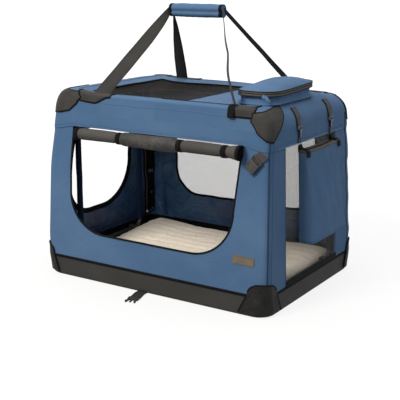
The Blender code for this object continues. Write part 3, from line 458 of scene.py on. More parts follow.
    def make(self, name: str, paints: Sequence[bpy.types.Material], weld: float = WELD) -> bpy.types.Object:
        """Make the gathered shapes into one object.

        Args:
            name: Name of the piece.
            paints: Materials, in the order of the marks.
            weld: Distance under which points join.

        Returns:
            The object, at the origin.
        """
        mesh = bpy.data.meshes.new(name)
        mesh.from_pydata(np.concatenate(self.points).tolist(), [], self.faces)
        layer = mesh.uv_layers.new(name=CLOTH_MAP)
        layer.data.foreach_set("uv", np.concatenate(self.maps).astype(np.float32).ravel())
        for paint in paints:
            mesh.materials.append(paint)
        mesh.polygons.foreach_set("material_index", self.marks)
        mesh.polygons.foreach_set("use_smooth", [True] * len(mesh.polygons))
        work = bmesh.new()
        work.from_mesh(mesh)
        bmesh.ops.remove_doubles(work, verts=work.verts, dist=weld)
        work.to_mesh(mesh)
        work.free()
        mesh.set_sharp_from_angle(angle=math.radians(48.0))
        mesh.update()
        return link(name, mesh)


def link(name: str, data: bpy.types.ID) -> bpy.types.Object:
    """Put an object with some data into the scene."""
    made = bpy.data.objects.new(name, data)
    bpy.context.scene.collection.objects.link(made)
    return made


# ---------------------------------------------------------------- finishes

class NodeBench:
    """Adds and wires shader nodes in one tree."""

    def __init__(self, tree: bpy.types.NodeTree) -> None:
        """Work on a tree."""
        self.tree = tree

    def put(self, node: bpy.types.Node, values: dict[str | int, object]) -> bpy.types.Node:
        """Set a node's inputs, by name or place, to numbers, colours or output sockets, and give it back."""
        for key, value in values.items():
            if isinstance(value, Socket):
                self.tree.links.new(value, node.inputs[key])
            else:
                node.inputs[key].default_value = value
        return node

    def group(self, tree: bpy.types.NodeTree, place: Socket, **values: object) -> object:
        """Add a shader group at a place, with its other inputs by name, and give its outputs."""
        return self.add("Group", {"Place": place, **values}, node_tree=tree).outputs

    def add(self, kind: str, values: dict[str | int, object] | None = None, **settings: object) -> bpy.types.Node:
        """Add a node.

        Args:
            kind: Its type, without the leading ShaderNode.
            values: What goes into its inputs.
            **settings: Its other settings.

        Returns:
            The node.
        """
        node = self.tree.nodes.new("ShaderNode" + kind)
        for key, value in settings.items():
            setattr(node, key, value)
        return self.put(node, values or {})

    def math(self, operation: str, *values: object) -> Socket:
        """Add a Math node and give its output."""
        return self.add("Math", dict(enumerate(values)), operation=operation).outputs[0]

    def vector(self, operation: str, *values: object) -> Socket:
        """Add a Vector Math node and give its output."""
        node = self.add("VectorMath", dict(enumerate(values)), operation=operation)
        return node.outputs["Value" if operation == "LENGTH" else "Vector"]

    def scaled(self, place: Socket, size: Socket, one: float = 1.0) -> Socket:
        """Place in steps of a size, times one."""
        share = self.math("DIVIDE", one, size)
        return self.add("VectorMath", {0: place, "Scale": share}, operation="SCALE").outputs[0]

    def ramp(self, value: Socket, low: float, high: float, kind: str = "LINEAR") -> Socket:
        """Share that rises from 0 to 1 as a value goes from low to high."""
        return self.add("MapRange", {0: value, 1: low, 2: high, 3: 0.0, 4: 1.0}, interpolation_type=kind).outputs[0]

    def mix(self, share: Socket | float, first: Colour | Socket, second: Colour | Socket,
            blend: str = "MIX") -> Socket:
        """Colour between two colours."""
        pair = [value if isinstance(value, Socket) else (*value, 1.0) for value in (first, second)]
        return self.add("Mix", {0: share, 6: pair[0], 7: pair[1]}, data_type="RGBA", blend_type=blend).outputs[2]

    def bump(self, height: Socket, distance: float, normal: Socket | None = None, strength: float = 1.0) -> Socket:
        """Normal of a surface that stands up by a height, on top of another normal."""
        values = {"Height": height, "Strength": strength, "Distance": distance}
        return self.add("Bump", values | ({"Normal": normal} if normal else {})).outputs[0]


def start_group(name: str, outputs: str, **inputs: float) -> tuple[NodeBench, object, bpy.types.Node]:
    """Open a group that takes a place and some numbers.

    Args:
        name: Its name.
        outputs: Names of its outputs, all values.
        **inputs: Its inputs after Place, with their usual values.

    Returns:
        A bench on the group, its input sockets, and the node that takes its outputs.
    """
    tree = bpy.data.node_groups.new(name, "ShaderNodeTree")
    tree.interface.new_socket("Place", in_out="INPUT", socket_type="NodeSocketVector")
    for key, value in inputs.items():
        tree.interface.new_socket(key, in_out="INPUT", socket_type="NodeSocketFloat").default_value = value
    for key in outputs.split():
        tree.interface.new_socket(key, in_out="OUTPUT", socket_type="NodeSocketFloat")
    return NodeBench(tree), tree.nodes.new("NodeGroupInput").outputs, tree.nodes.new("NodeGroupOutput")


class Effects:
    """Shader groups that the finishes share, each built when it is first asked for."""

    @cached_property
    def weave(self) -> bpy.types.NodeTree:
        """Plain weave of two sets of threads: its height and how deep each place lies."""
        bench, given, end = start_group("plain_weave", "Height Shade", Thread=0.001)
        parts = bench.add("SeparateXYZ", {0: bench.scaled(given["Place"], given["Thread"], math.pi)}).outputs
        sets = []
        for own, other, shift in (("X", "Y", 0.0), ("Y", "X", math.pi)):
            over = bench.math("ABSOLUTE", bench.math("SINE", parts[own]))
            number = bench.math("FLOOR", bench.math("DIVIDE", parts[own], math.pi))
            turn = bench.math("MULTIPLY_ADD", number, math.pi, shift)
            wave = bench.math("COSINE", bench.math("ADD", parts[other], turn))
            sets.append(bench.math("MULTIPLY", over, bench.math("MULTIPLY_ADD", wave, 0.5, 0.5)))
        height = bench.math("MAXIMUM", *sets)
        bench.put(end, {"Height": height, "Shade": bench.math("POWER", height, 0.6)})
        return bench.tree

    @cached_property
    def creases(self) -> bpy.types.NodeTree:
        """Soft folds and sharper creases of handled cloth: their height, and a slow fading that on the lining carries
        pale patches of painted sheen.
        """
        bench, given, end = start_group("handled_creases", "Height Fade", Size=0.08, Sharp=0.3)
        place = bench.scaled(given["Place"], given["Size"])
        soft, fold = (bench.add("TexNoise", {"Vector": place, "Scale": scale, "Detail": detail, "Roughness": rough,
                                             "Distortion": bend}).outputs[0]
                      for scale, detail, rough, bend in ((1.0, 2.0, 0.5, 0.6), (1.7, 1.0, 0.4, 1.4)))
        ridge = bench.math("ABSOLUTE", bench.math("SUBTRACT", fold, 0.5))
        ridge = bench.math("SUBTRACT", 0.3, bench.math("MINIMUM", ridge, 0.3))
        ridge = bench.math("POWER", bench.math("MULTIPLY", ridge, 3.3), 3.0)
        wide = bench.add("TexNoise", {"Vector": place, "Scale": 0.45, "Detail": 3.0, "Roughness": 0.6}).outputs[0]
        bench.put(end, {"Height": bench.math("MULTIPLY_ADD", ridge, given["Sharp"], soft), "Fade": wide})
        return bench.tree

    @cached_property
    def net(self) -> bpy.types.NodeTree:
        """Knitted net of staggered holes: how much thread covers a place, and how high it stands there."""
        bench, given, end = start_group("knitted_net", "Cover Height", Pitch=0.003, Hole=0.4)
        place = bench.scaled(given["Place"], given["Pitch"])
        distances = []
        for shift in ((0.0, 0.0, 0.0), (0.5, 0.866, 0.0)):
            cell = bench.vector("DIVIDE", bench.vector("ADD", place, shift), (1.0, 1.732, 10.0))
            middle = bench.vector("SUBTRACT", bench.vector("FRACTION", cell), (0.5, 0.5, 0.0))
            distances.append(bench.vector("LENGTH", bench.vector("MULTIPLY", middle, (1.0, 1.732, 0.0))))
        over = bench.math("SUBTRACT", bench.math("MINIMUM", *distances), given["Hole"])
        bench.put(end, {"Cover": bench.ramp(over, -0.04, 0.04, "SMOOTHSTEP"),
                        "Height": bench.math("MINIMUM", bench.math("MULTIPLY", over, 4.0), 1.0)})
        return bench.tree

    @cached_property
    def wear(self) -> bpy.types.NodeTree:
        """Fine grain and slow smudges of a handled hard surface."""
        bench, given, end = start_group("grain_and_smudge", "Height Mask", Grain=0.0012, Smudge=0.03)
        for source, target, detail in (("Grain", "Height", 3.0), ("Smudge", "Mask", 4.0)):
            place = bench.scaled(given["Place"], given[source])
            grain = bench.add("TexNoise", {"Vector": place, "Scale": 1.0, "Detail": detail})
            bench.put(end, {target: grain.outputs[0]})
        return bench.tree


class Place(Enum):
    """What a finish is laid out on."""

    CLOTH = "the flat cloth of the piece"
    OBJECT = "the space that the piece stands in"


@dataclass(frozen=True)
class Finish:
    """A finish that varies between two colours."""

    name: str
    colour: Colour
    second: Colour

    layout = Place.CLOTH

    def make(self, effects: Effects) -> bpy.types.Material:
        """Build the material.

        Args:
            effects: The shared shader groups.

        Returns:
            The material.
        """
        paint = bpy.data.materials.new(self.name)
        paint.use_nodes = True
        bench = NodeBench(paint.node_tree)
        if self.layout is Place.CLOTH:
            place = bench.add("UVMap", uv_map=CLOTH_MAP).outputs[0]
        else:
            place = bench.add("TexCoord").outputs["Object"]
        bench.put(paint.node_tree.nodes["Principled BSDF"], self.dress(bench, place, effects))
        return paint


@dataclass(frozen=True)
class Cloth(Finish):
    """Woven or coated cloth, with the colour that it fades to, which on the lining is a pale painted sheen."""

    thread: float = 0.0011
    relief: float = 0.00012
    crease: float = 0.0010
    crease_size: float = 0.07
    sharp: float = 0.25
    roughness: float = 0.75
    specular: float = 0.10
    sheen: float = 0.02
    coat: float = 0.0

    def dress(self, bench: NodeBench, place: Socket, effects: Effects) -> dict[str, object]:
        """What goes into the Principled shader.

        Args:
            bench: Bench on the material's nodes.
            place: Socket of the place, in metres.
            effects: The shared shader groups.

        Returns:
            Numbers, colours and sockets by the name of the input.
        """
        weave = bench.group(effects.weave, place, Thread=self.thread)
        creases = bench.group(effects.creases, place, Size=self.crease_size, Sharp=self.sharp)
        # The second colour comes in by the slow fade mask; on the lining it is painted sheen, pale patches for light
        # off glossy folds.
        base = bench.mix(bench.ramp(creases["Fade"], 0.38, 0.66), self.colour, self.second)
        # The weave's deep places take the colour darkened to 0.62: painted shade in the hollows between the threads.
        dark = bench.mix(1.0, base, (0.62,) * 3, "MULTIPLY")
        folds = bench.bump(creases["Height"], self.crease)
        return {"Base Color": bench.mix(weave["Shade"], dark, base),
                "Roughness": bench.math("MULTIPLY_ADD", creases["Fade"], 0.12, self.roughness - 0.06),
                "Normal": bench.bump(weave["Height"], self.relief, folds), "Specular IOR Level": self.specular,
                "Sheen Weight": self.sheen, "Sheen Roughness": 0.45, "Coat Weight": self.coat,
                "Coat Roughness": 0.28}


@dataclass(frozen=True)
class Net(Finish):
    """Knitted net: with holes right through it, or over cloth of the second colour where it is backed."""

    pitch: float
    hole: float
    backed: bool = False

    def dress(self, bench: NodeBench, place: Socket, effects: Effects) -> dict[str, object]:
        """What goes into the Principled shader.

        Args:
            bench: Bench on the material's nodes.
            place: Socket of the place, in metres.
            effects: The shared shader groups.

        Returns:
            Numbers, colours and sockets by the name of the input.
        """
        net = bench.group(effects.net, place, Pitch=self.pitch, Hole=self.hole)
        fade = bench.group(effects.creases, place, Size=0.1, Sharp=0.1)["Fade"]
        lighter = tuple(min(1.0, 1.5 * value + 0.01) for value in self.colour)
        base = bench.mix(fade, self.colour, lighter)
        look = {"Roughness": 0.7, "Specular IOR Level": 0.1, "Normal": bench.bump(net["Height"], 0.0003)}
        if self.backed:
            behind = bench.mix(fade, self.second, self.colour)
            return look | {"Base Color": bench.mix(net["Cover"], behind, base)}
        return look | {"Base Color": base, "Alpha": net["Cover"]}


@dataclass(frozen=True)
class Fleece(Finish):
    """Short soft pile, with painted shade in its hollows as its second colour."""

    layout = Place.OBJECT

    def dress(self, bench: NodeBench, place: Socket, effects: Effects) -> dict[str, object]:
        """What goes into the Principled shader.

        Args:
            bench: Bench on the material's nodes.
            place: Socket of the place, in metres.
            effects: The shared shader groups.

        Returns:
            Numbers, colours and sockets by the name of the input.
        """
        tufts = bench.add("TexNoise", {"Vector": place, "Scale": 260.0, "Detail": 3.0, "Roughness": 0.7})
        clumps = bench.add("TexVoronoi", {"Vector": place, "Scale": 85.0, "Randomness": 1.0}, feature="SMOOTH_F1")
        creases = bench.group(effects.creases, place, Size=0.06, Sharp=0.2)
        # Low places of the pile take the darker second colour: painted shade in the hollows between tufts, plus the
        # slow fading.
        height = bench.math("MULTIPLY_ADD", clumps.outputs["Distance"], -0.8, tufts.outputs[0])
        share = bench.math("MULTIPLY", bench.ramp(height, 0.0, 0.55), 0.6)
        share = bench.math("MULTIPLY_ADD", creases["Fade"], 0.5, share)
        soft = bench.bump(creases["Height"], 0.003)
        return {"Roughness": 0.95, "Specular IOR Level": 0.15, "Sheen Weight": 0.35, "Sheen Roughness": 0.6,
                "Base Color": bench.mix(share, self.second, self.colour),
                "Normal": bench.bump(height, 0.0016, soft, 0.9)}


@dataclass(frozen=True)
class Hard(Finish):
    """Moulded plastic, coated metal, board or another hard finish, with the colour of its worn places."""

    roughness: float
    metallic: float = 0.0
    grain: float = 0.0012
    relief: float = 0.00006

    layout = Place.OBJECT

    def dress(self, bench: NodeBench, place: Socket, effects: Effects) -> dict[str, object]:
        """What goes into the Principled shader.

        Args:
            bench: Bench on the material's nodes.
            place: Socket of the place, in metres.
            effects: The shared shader groups.

        Returns:
            Numbers, colours and sockets by the name of the input.
        """
        wear = bench.group(effects.wear, place, Grain=self.grain, Smudge=0.03)
        return {"Metallic": self.metallic, "Specular IOR Level": 0.5,
                "Base Color": bench.mix(bench.ramp(wear["Mask"], 0.42, 0.68), self.colour, self.second),
                "Roughness": bench.math("MULTIPLY_ADD", wear["Mask"], 0.2, self.roughness - 0.1),
                "Normal": bench.bump(wear["Height"], self.relief)}


FINISHES = {
    "blue": Cloth("blue_polyester", (0.068, 0.140, 0.262), (0.090, 0.170, 0.300), crease=0.0014,
                  crease_size=0.13, sheen=0.04),
    # Pale piping is painted highlight: a lighter blue for light catching the right skirt's hem and the bag's lower
    # edge.
    "piping": Cloth("piping_painted_highlight", (0.11, 0.20, 0.36), (0.15, 0.26, 0.43), thread=0.0006, crease=0.0002),
    # The sleeves' near-black is painted shade: as dark as the wall in shadow behind the legs.
    "sleeve": Cloth("sleeve_painted_shade", (0.005, 0.012, 0.034), (0.007, 0.018, 0.046), thread=0.0009, crease=0.0006),
    # The lining's pale second colour is painted sheen: patches that stand in for light glancing off its glossy folds.
    "lining": Cloth("coated_lining", (0.010, 0.034, 0.115), (0.050, 0.125, 0.240), thread=0.0009, relief=0.00005,
                    crease=0.0080, crease_size=0.12, sharp=0.2, roughness=0.34, specular=0.5, sheen=0.0, coat=0.2),
    "band": Cloth("coated_band", (0.038, 0.038, 0.036), (0.050, 0.049, 0.046), thread=0.0012, relief=0.0001,
                  crease=0.0009, roughness=0.6),
    "boot": Cloth("boot_cloth", (0.014, 0.014, 0.014), (0.026, 0.025, 0.024), thread=0.0014, relief=0.00015,
                  crease=0.0022, crease_size=0.02, sharp=0.4, roughness=0.55),
    "patch": Cloth("tough_patch", (0.040, 0.038, 0.036), (0.060, 0.057, 0.053), thread=0.0024, relief=0.0004,
                   crease=0.0012, crease_size=0.03, sharp=0.35, roughness=0.62),
    "binding": Cloth("edge_binding", (0.006, 0.006, 0.0065), (0.010, 0.010, 0.011), thread=0.0008, relief=0.0001,
                     crease=0.0004, crease_size=0.02, roughness=0.7, specular=0.05, sheen=0.0),
    "webbing": Cloth("nylon_webbing", (0.030, 0.029, 0.027), (0.042, 0.040, 0.037), thread=0.0017, relief=0.0003,
                     crease=0.0005, crease_size=0.05, roughness=0.6),
    "zip_tape": Cloth("zip_tape", (0.085, 0.078, 0.068), (0.105, 0.096, 0.084), thread=0.0009, relief=0.00012,
                      crease=0.0004, crease_size=0.02, roughness=0.6),
    "wrap": Cloth("roll_wrap", (0.032, 0.031, 0.029), (0.082, 0.079, 0.074), thread=0.0010, relief=0.00012,
                  crease=0.0040, crease_size=0.035, roughness=0.5, specular=0.15),
    "strap_grey": Cloth("grey_webbing", (0.075, 0.068, 0.064), (0.100, 0.090, 0.085), thread=0.0017, relief=0.0003,
                        crease=0.0005, crease_size=0.04, roughness=0.6),
    "dark_thread": Cloth("dark_thread", (0.030, 0.025, 0.020), (0.040, 0.034, 0.028), thread=0.0004, relief=0.0001,
                         crease=0.0001),
    "thread": Cloth("sewing_thread", (0.020, 0.045, 0.090), (0.026, 0.056, 0.11), thread=0.0004, relief=0.0001,
                    crease=0.0001),
    "grey_net": Net("grey_net", (0.30, 0.30, 0.30), (0.30, 0.30, 0.30), 0.0022, 0.36),
    "side_net": Net("side_net", (0.09, 0.085, 0.075), (0.09, 0.085, 0.075), 0.0026, 0.415),
    "rolled_net": Net("rolled_net", (0.020, 0.020, 0.020), (0.15, 0.142, 0.128), 0.0046, 0.37, backed=True),
    "black_net": Net("black_net", (0.010, 0.009, 0.008), (0.010, 0.009, 0.008), 0.0030, 0.30),
    # The fleece's second colour is painted shade in the pile's hollows.
    "fleece": Fleece("fleece_pile", (0.92, 0.845, 0.71), (0.76, 0.67, 0.53)),
    "bright": Hard("bright_ferrule", (0.75, 0.75, 0.74), (0.65, 0.65, 0.64), 0.2, metallic=1.0),
    "steel": Hard("black_coated_steel", (0.010, 0.010, 0.011), (0.018, 0.018, 0.019), 0.40),
    "gunmetal": Hard("dark_plated_hook", (0.06, 0.06, 0.065), (0.10, 0.10, 0.11), 0.34, metallic=1.0),
    "plastic": Hard("black_moulding", (0.014, 0.014, 0.015), (0.024, 0.024, 0.025), 0.42),
    "board": Hard("fibre_board", (0.20, 0.165, 0.125), (0.27, 0.23, 0.18), 0.85, grain=0.003, relief=0.0003),
    "label": Hard("bare_leather", (0.098, 0.080, 0.058), (0.130, 0.108, 0.080), 0.6, grain=0.0016, relief=0.00025),
}


class Palette:
    """Makes each finish the first time that a piece asks for it."""

    def __init__(self) -> None:
        """Start with no material made."""
        self.effects = Effects()
        self.made: dict[str, bpy.types.Material] = {}

    def __call__(self, names: str) -> list[bpy.types.Material]:
        """Materials of the named finishes, in order."""
        for name in names.split():
            if name not in self.made:
                self.made[name] = FINISHES[name].make(self.effects)
        return [self.made[name] for name in names.split()]


# ---------------------------------------------------------------- the crate's shell

@dataclass(frozen=True)
class Shell:
    """Outer shape of the crate, which every cloth on it follows."""

    length: float = 0.700
    depth: float = 0.500
    height: float = 0.520
    lean_length: float = 0.016
    lean_depth: float = 0.026
    rim_height: float = 0.465
    rim_round: float = 0.055
    top_edge: float = 0.006
    band_height: float = 0.058
    foot_corner: float = 0.045
    wall_corner: float = 0.022
    skirt_proud: float = 0.002
    cloth: float = 0.002
    seam: float = 0.0007
    corner_pull: float = 0.0035
    left_spread: float = 0.0158
    back_spread: float = 0.0105
    top_rise: float = 0.0110
    folds: tuple[Swell, Swell] = (Swell((0.050, 0.050, 0.40), 3, 0.0015), Swell((0.12, 0.12, 0.16), 5, 0.0026))
    drag: Swell = Swell((0.10, 0.3, 0.020), 8, 0.0035)
    drag_turn: tuple[Triple, ...] = ((0.8, 0.0, -0.6), (0.0, 1.0, 0.0), (0.6, 0.0, 0.8))

    def half_length(self, z: Array | float) -> Array:
        """Half of the crate's length at a height."""
        rise = np.clip(z - self.rim_height, 0.0, self.rim_round)
        return (self.length / 2.0 - self.lean_length * np.minimum(z, self.rim_height) / self.height
                - self.rim_round + np.sqrt(self.rim_round ** 2 - rise ** 2))

    def half_depth(self, z: Array | float) -> Array:
        """Half of the crate's depth at a height, rounded over at the top edge."""
        over = np.clip(z - (self.height - self.top_edge), 0.0, self.top_edge)
        tuck = self.top_edge - np.sqrt(self.top_edge ** 2 - over ** 2)
        return self.depth / 2.0 - self.lean_depth * z / self.height - tuck

    def radius(self, z: Array | float) -> Array:
        """Plan radius of the upright corners at a height."""
        return self.foot_corner + (self.wall_corner - self.foot_corner) * np.minimum(1.0, z / self.band_height)

    def relief(self, points: Array) -> Array:
        """How far the cloth stands out of its plain shape, pulled in folds between its tubes."""
        x, y, z = np.moveaxis(points, -1, 0)
        held = ease_in(z, 0.058, 0.13) * (1.0 - ease_in(z, 0.49, 0.515))
        folds = self.folds[0].at(points) + self.folds[1].at(points)
        slack = ease_in(y, 0.10, 0.20) * (1.0 - ease_in(z, 0.36, 0.44)) * ease_in(z, 0.058, 0.12)
        return (folds * held * (1.0 - 0.6 * ease_in(x, 0.325, 0.335))
                + self.drag.at(points @ np.array(self.drag_turn)) * slack)

    def top_lift(self, x: Array, y: Array) -> Array:
        """How far the top edge stands up at the left end and sinks at the rear right."""
        left = self.top_rise * ease_in(-x, 0.18, 0.33) * (1.0 - 0.35 * ease_in(y, 0.10, 0.22))
        return left - self.top_rise * ease_in(x, -0.05, 0.30) * ease_in(y, 0.07, 0.24)

    def corner(self, side: Side, run: Array | float, z: Array | float, out: Array | float = 0.0) -> Array:
        """Point on the skin near an upright corner, with the cloth's own relief.

        Args:
            side: Signs of X and Y of the corner.
            run: Distance round the corner: below 0 along the front or back, then round
                the arc, and beyond it along the end.
            z: Height.
            out: Distance out of the skin.

        Returns:
            Points on the skin.
        """
        run, z = np.broadcast_arrays(np.asarray(run, float), np.asarray(z, float))
        radius = self.radius(z)
        turn = np.clip(run / radius, 0.0, QUARTER)
        normal = spots(side[0] * np.sin(turn), side[1] * np.cos(turn), 0.0)
        reach = spots(self.half_length(z) - radius + np.minimum(run, 0.0),
                      self.half_depth(z) - radius - np.maximum(run - radius * QUARTER, 0.0), z)
        base = reach * (*side, 1.0) + normal * radius[..., None]
        held = ease_in(z, 0.060, 0.12) * (1.0 - ease_in(z, 0.43, 0.50))
        push = self.relief(base) + out + self.corner_pull * np.sin(2.0 * turn) ** 2 * held
        low = ease_in(self.rim_height - z, 0.0, 0.17)
        base[..., 0] += self.left_spread * low * np.minimum(0.0, base[..., 0]) / (self.length / 2.0)
        base[..., 1] += self.back_spread * low * np.maximum(0.0, base[..., 1]) / (self.depth / 2.0)
        base[..., 2] += self.top_lift(base[..., 0], base[..., 1]) * ease_in(z, 0.445, 0.500)
        return base + normal * push[..., None]

    def flat_half(self, face: str, z: Array | float) -> Array:
        """Half of the flat part of a face at a height."""
        return (self.half_length(z) if face in ("front", "back") else self.half_depth(z)) - self.radius(z)

    def wall(self, face: str, across: Array | float, z: Array | float, out: Array | float = 0.0) -> Array:
        """Point on a face, which goes on round the corners past its flat part.

        Args:
            face: front, back, left or right.
            across: Distance along the face from its middle.
            z: Height.
            out: Distance out of the skin.

        Returns:
            Points on the skin.
        """
        across, z = np.broadcast_arrays(np.asarray(across, float), np.asarray(z, float))
        over = np.abs(across) - self.flat_half(face, z)
        found = []
        for way in (-1, 1):
            if face in ("front", "back"):
                found.append(self.corner((way, -1 if face == "front" else 1), over, z, out))
            else:
                side = (-1 if face == "left" else 1, way)
                found.append(self.corner(side, self.radius(z) * QUARTER - over, z, out))
        return np.where((across < 0.0)[..., None], *found)

    def ring(self, z: float, out: float = 0.0) -> Array:
        """Closed loop of points round the crate at a height and a distance out of the skin."""
        along_x = -np.linspace(self.flat_half("front", z), 0.0, 41, endpoint=False)
        along_y = np.linspace(0.0, self.flat_half("left", z), 28, endpoint=False)[1:]
        bend = np.linspace(0.0, 1.0, 17) * self.radius(z) * QUARTER
        run = np.concatenate([along_x, bend, bend[-1] + along_y])
        return np.concatenate([self.corner(side, run, z, out)[::step]
                               for side, step in (((1, -1), 1), ((1, 1), -1), ((-1, 1), 1), ((-1, -1), -1))])


@dataclass
class Part:
    """Sub-assembly that is sewn round the crate's shell, in the palette's finishes."""

    shell: Shell
    paints: Palette

    def piece(self, sewing: Sewing, name: str, finishes: str, body: str, slot: str, *nodes: str,
              weld: float = WELD) -> bpy.types.Object:
        """Make a piece, put it on its body in place of its CAD nodes, and report it.

        Args:
            sewing: Its gathered shapes.
            name: Its name.
            finishes: Names of its finishes, in the order of the marks.
            body: Body that it rides on.
            slot: Not used.
            *nodes: CAD nodes that it stands for.
            weld: Distance under which its points join.

        Returns:
            The piece.
        """
        made = sewing.make(name, self.paints(finishes), weld)
        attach(made, body)
        if nodes:
            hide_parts(*nodes)
        log.info("%s rides on %s, %d faces", name, body, len(made.data.polygons))
        return made


def crumple(made: bpy.types.Object) -> None:
    """Give a piece of a wall its own copy of its mesh."""
    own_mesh(made)


@dataclass
class Tray(Part):
    """Dark band round the foot, with its bottom and the boots on its corners."""

    edge: float = 0.006
    thick: float = 0.002
    foot_curve: Pairs = ((0.0009, -0.0048), (0.0022, -0.0026), (0.0040, -0.0010), (0.0062, 0.0))
    reaches: dict[str, Pair] = field(default_factory=lambda: {
        "front_left": (0.004, 0.030), "front_right": (0.037, 0.026), "rear_left": (0.004, 0.006),
        "rear_right": (0.012, 0.010)})
    boot_rise: float = 0.0300
    boot_low: float = 0.010
    boot_cloth: float = 0.0014
    boot_proud: float = 0.0015
    boot_swell: Swell = Swell(1.0, 11, 0.0014)

    def make_band(self) -> None:
        """Band, rounded foot and bottom cloth in one piece, with a bound upper edge."""
        sewing = Sewing()
        head = self.shell.band_height
        foot = self.shell.ring(0.0, -self.edge) * (1.0, 1.0, 0.0)
        rows = [foot * share + Z * 0.0004 for share in (0.02, 0.4, 0.8, 0.985)] + [foot]
        rows += [self.shell.ring(z, out) for z, out in self.foot_curve]
        rows += [self.shell.ring(z) for z in np.linspace(self.boot_low, head, 10)]
        sewing.sheet(np.array(rows), self.thick, (0, 1), closed=True)
        line = self.shell.ring(head - 0.0035)
        out = unit(line * (1.0, 1.0, 0.0))
        sewing.tape(line, out, 0.0075, 0.0011, 1, closed=True)
        for drop in (0.0018, 0.0058):
            sewing.stitches(self.shell.ring(head - drop, 0.0011), out, 2)
        self.piece(sewing, "tray_band", "band binding binding", "base", "cloth_dark", "base_tray")

    def make_boot(self, side: Side, name: str) -> None:
        """Tough patch wrapped round one lower corner, arched over it and sewn down twice.

        Args:
            side: Signs of X and Y of the corner.
            name: Its name, such as front_left.
        """
        sewing = Sewing()
        columns = np.linspace(-1.0, 1.0, 33)
        top = self.shell.band_height + 0.0006 + self.boot_rise * np.sqrt(1.0 - columns ** 2)
        rows = []
        for share in np.linspace(0.0, 1.0, 15):
            z = self.boot_low + (top - self.boot_low) * share
            near, far = np.array(self.reaches[name]) * (1.06 - 0.16 * share)
            run = -near + (self.shell.radius(z) * QUARTER + far + near) * (columns + 1.0) / 2.0
            spot = spots(columns * 3.0 + side[0] * 7.0, z / 0.02, side[1] * 5.0)
            out = self.boot_cloth + self.boot_proud + self.boot_swell.at(spot) * arch(share)
            rows.append(self.shell.corner(side, run, z, out))
        rows = np.array(rows)
        normal = sewing.sheet(rows, self.boot_cloth, flip=side[0] * side[1] < 0)
        out = rim(normal[::-1])
        sewing.tube(rim(rows[::-1]) - out * 0.0007, out, 0.0020, 1)
        for column in (3, 29, 5, 27):
            sewing.tube(rows[1:-2, column], normal[1:-2, column], 0.0011, 1, flat=0.8)
        sewing.stitches(resample(rows[-2, 3:-3], 0.002), np.array([*side, 0.4]) / 1.47, 1)
        self.piece(sewing, "boot_cloth_" + name, "boot binding", "base", "cloth_grey", "boot_" + name)

    def build(self) -> None:
        """Make the band and the four boots."""
        self.make_band()
        for side, name in CORNERS.items():
            self.make_boot(side, name)


@dataclass(frozen=True)
class Flank:
    """One side of an opening: half width at its head and at its foot, and the radius of its lower corner."""

    head: float
    foot: float
    radius: float


@dataclass(frozen=True)
class Opening:
    """Opening in a wall: its sides below and above 0, its sill and its head."""

    flanks: tuple[Flank, Flank]
    low: float
    high: float = 0.418

    @property
    def width(self) -> float:
        """Width at the head."""
        return self.flanks[0].head + self.flanks[1].head

    @property
    def tall(self) -> float:
        """Height from its sill to its head."""
        return self.high - self.low

    def outline(self, step: float = 0.0055, grow: float = 0.0) -> Array:
        """Points from the upper left, down, along the sill and up again.

        Args:
            step: Distance between points.
            grow: How far the line lies outside the opening.

        Returns:
            Pairs of across and height.
        """
        low = self.low - grow
        sides = []
        for side in self.flanks:
            half, foot, radius = side.head + grow, side.foot + grow, side.radius + grow
            turn = np.linspace(math.pi, 1.5 * math.pi, max(6, int(radius * 1.57 / step)))
            arc = spots(-foot + radius + radius * np.cos(turn), low + radius + radius * np.sin(turn))
            left = np.linspace((-half, self.high), arc[0], max(3, int((self.high - arc[0, 1]) / step)), endpoint=False)
            sill = np.linspace(arc[-1], (0.0, low), max(3, int(-arc[-1, 0] / step)))[1:]
            sides.append(np.concatenate([left, arc, sill]))
        return np.concatenate([sides[0], sides[1][-2::-1] * (-1.0, 1.0)])


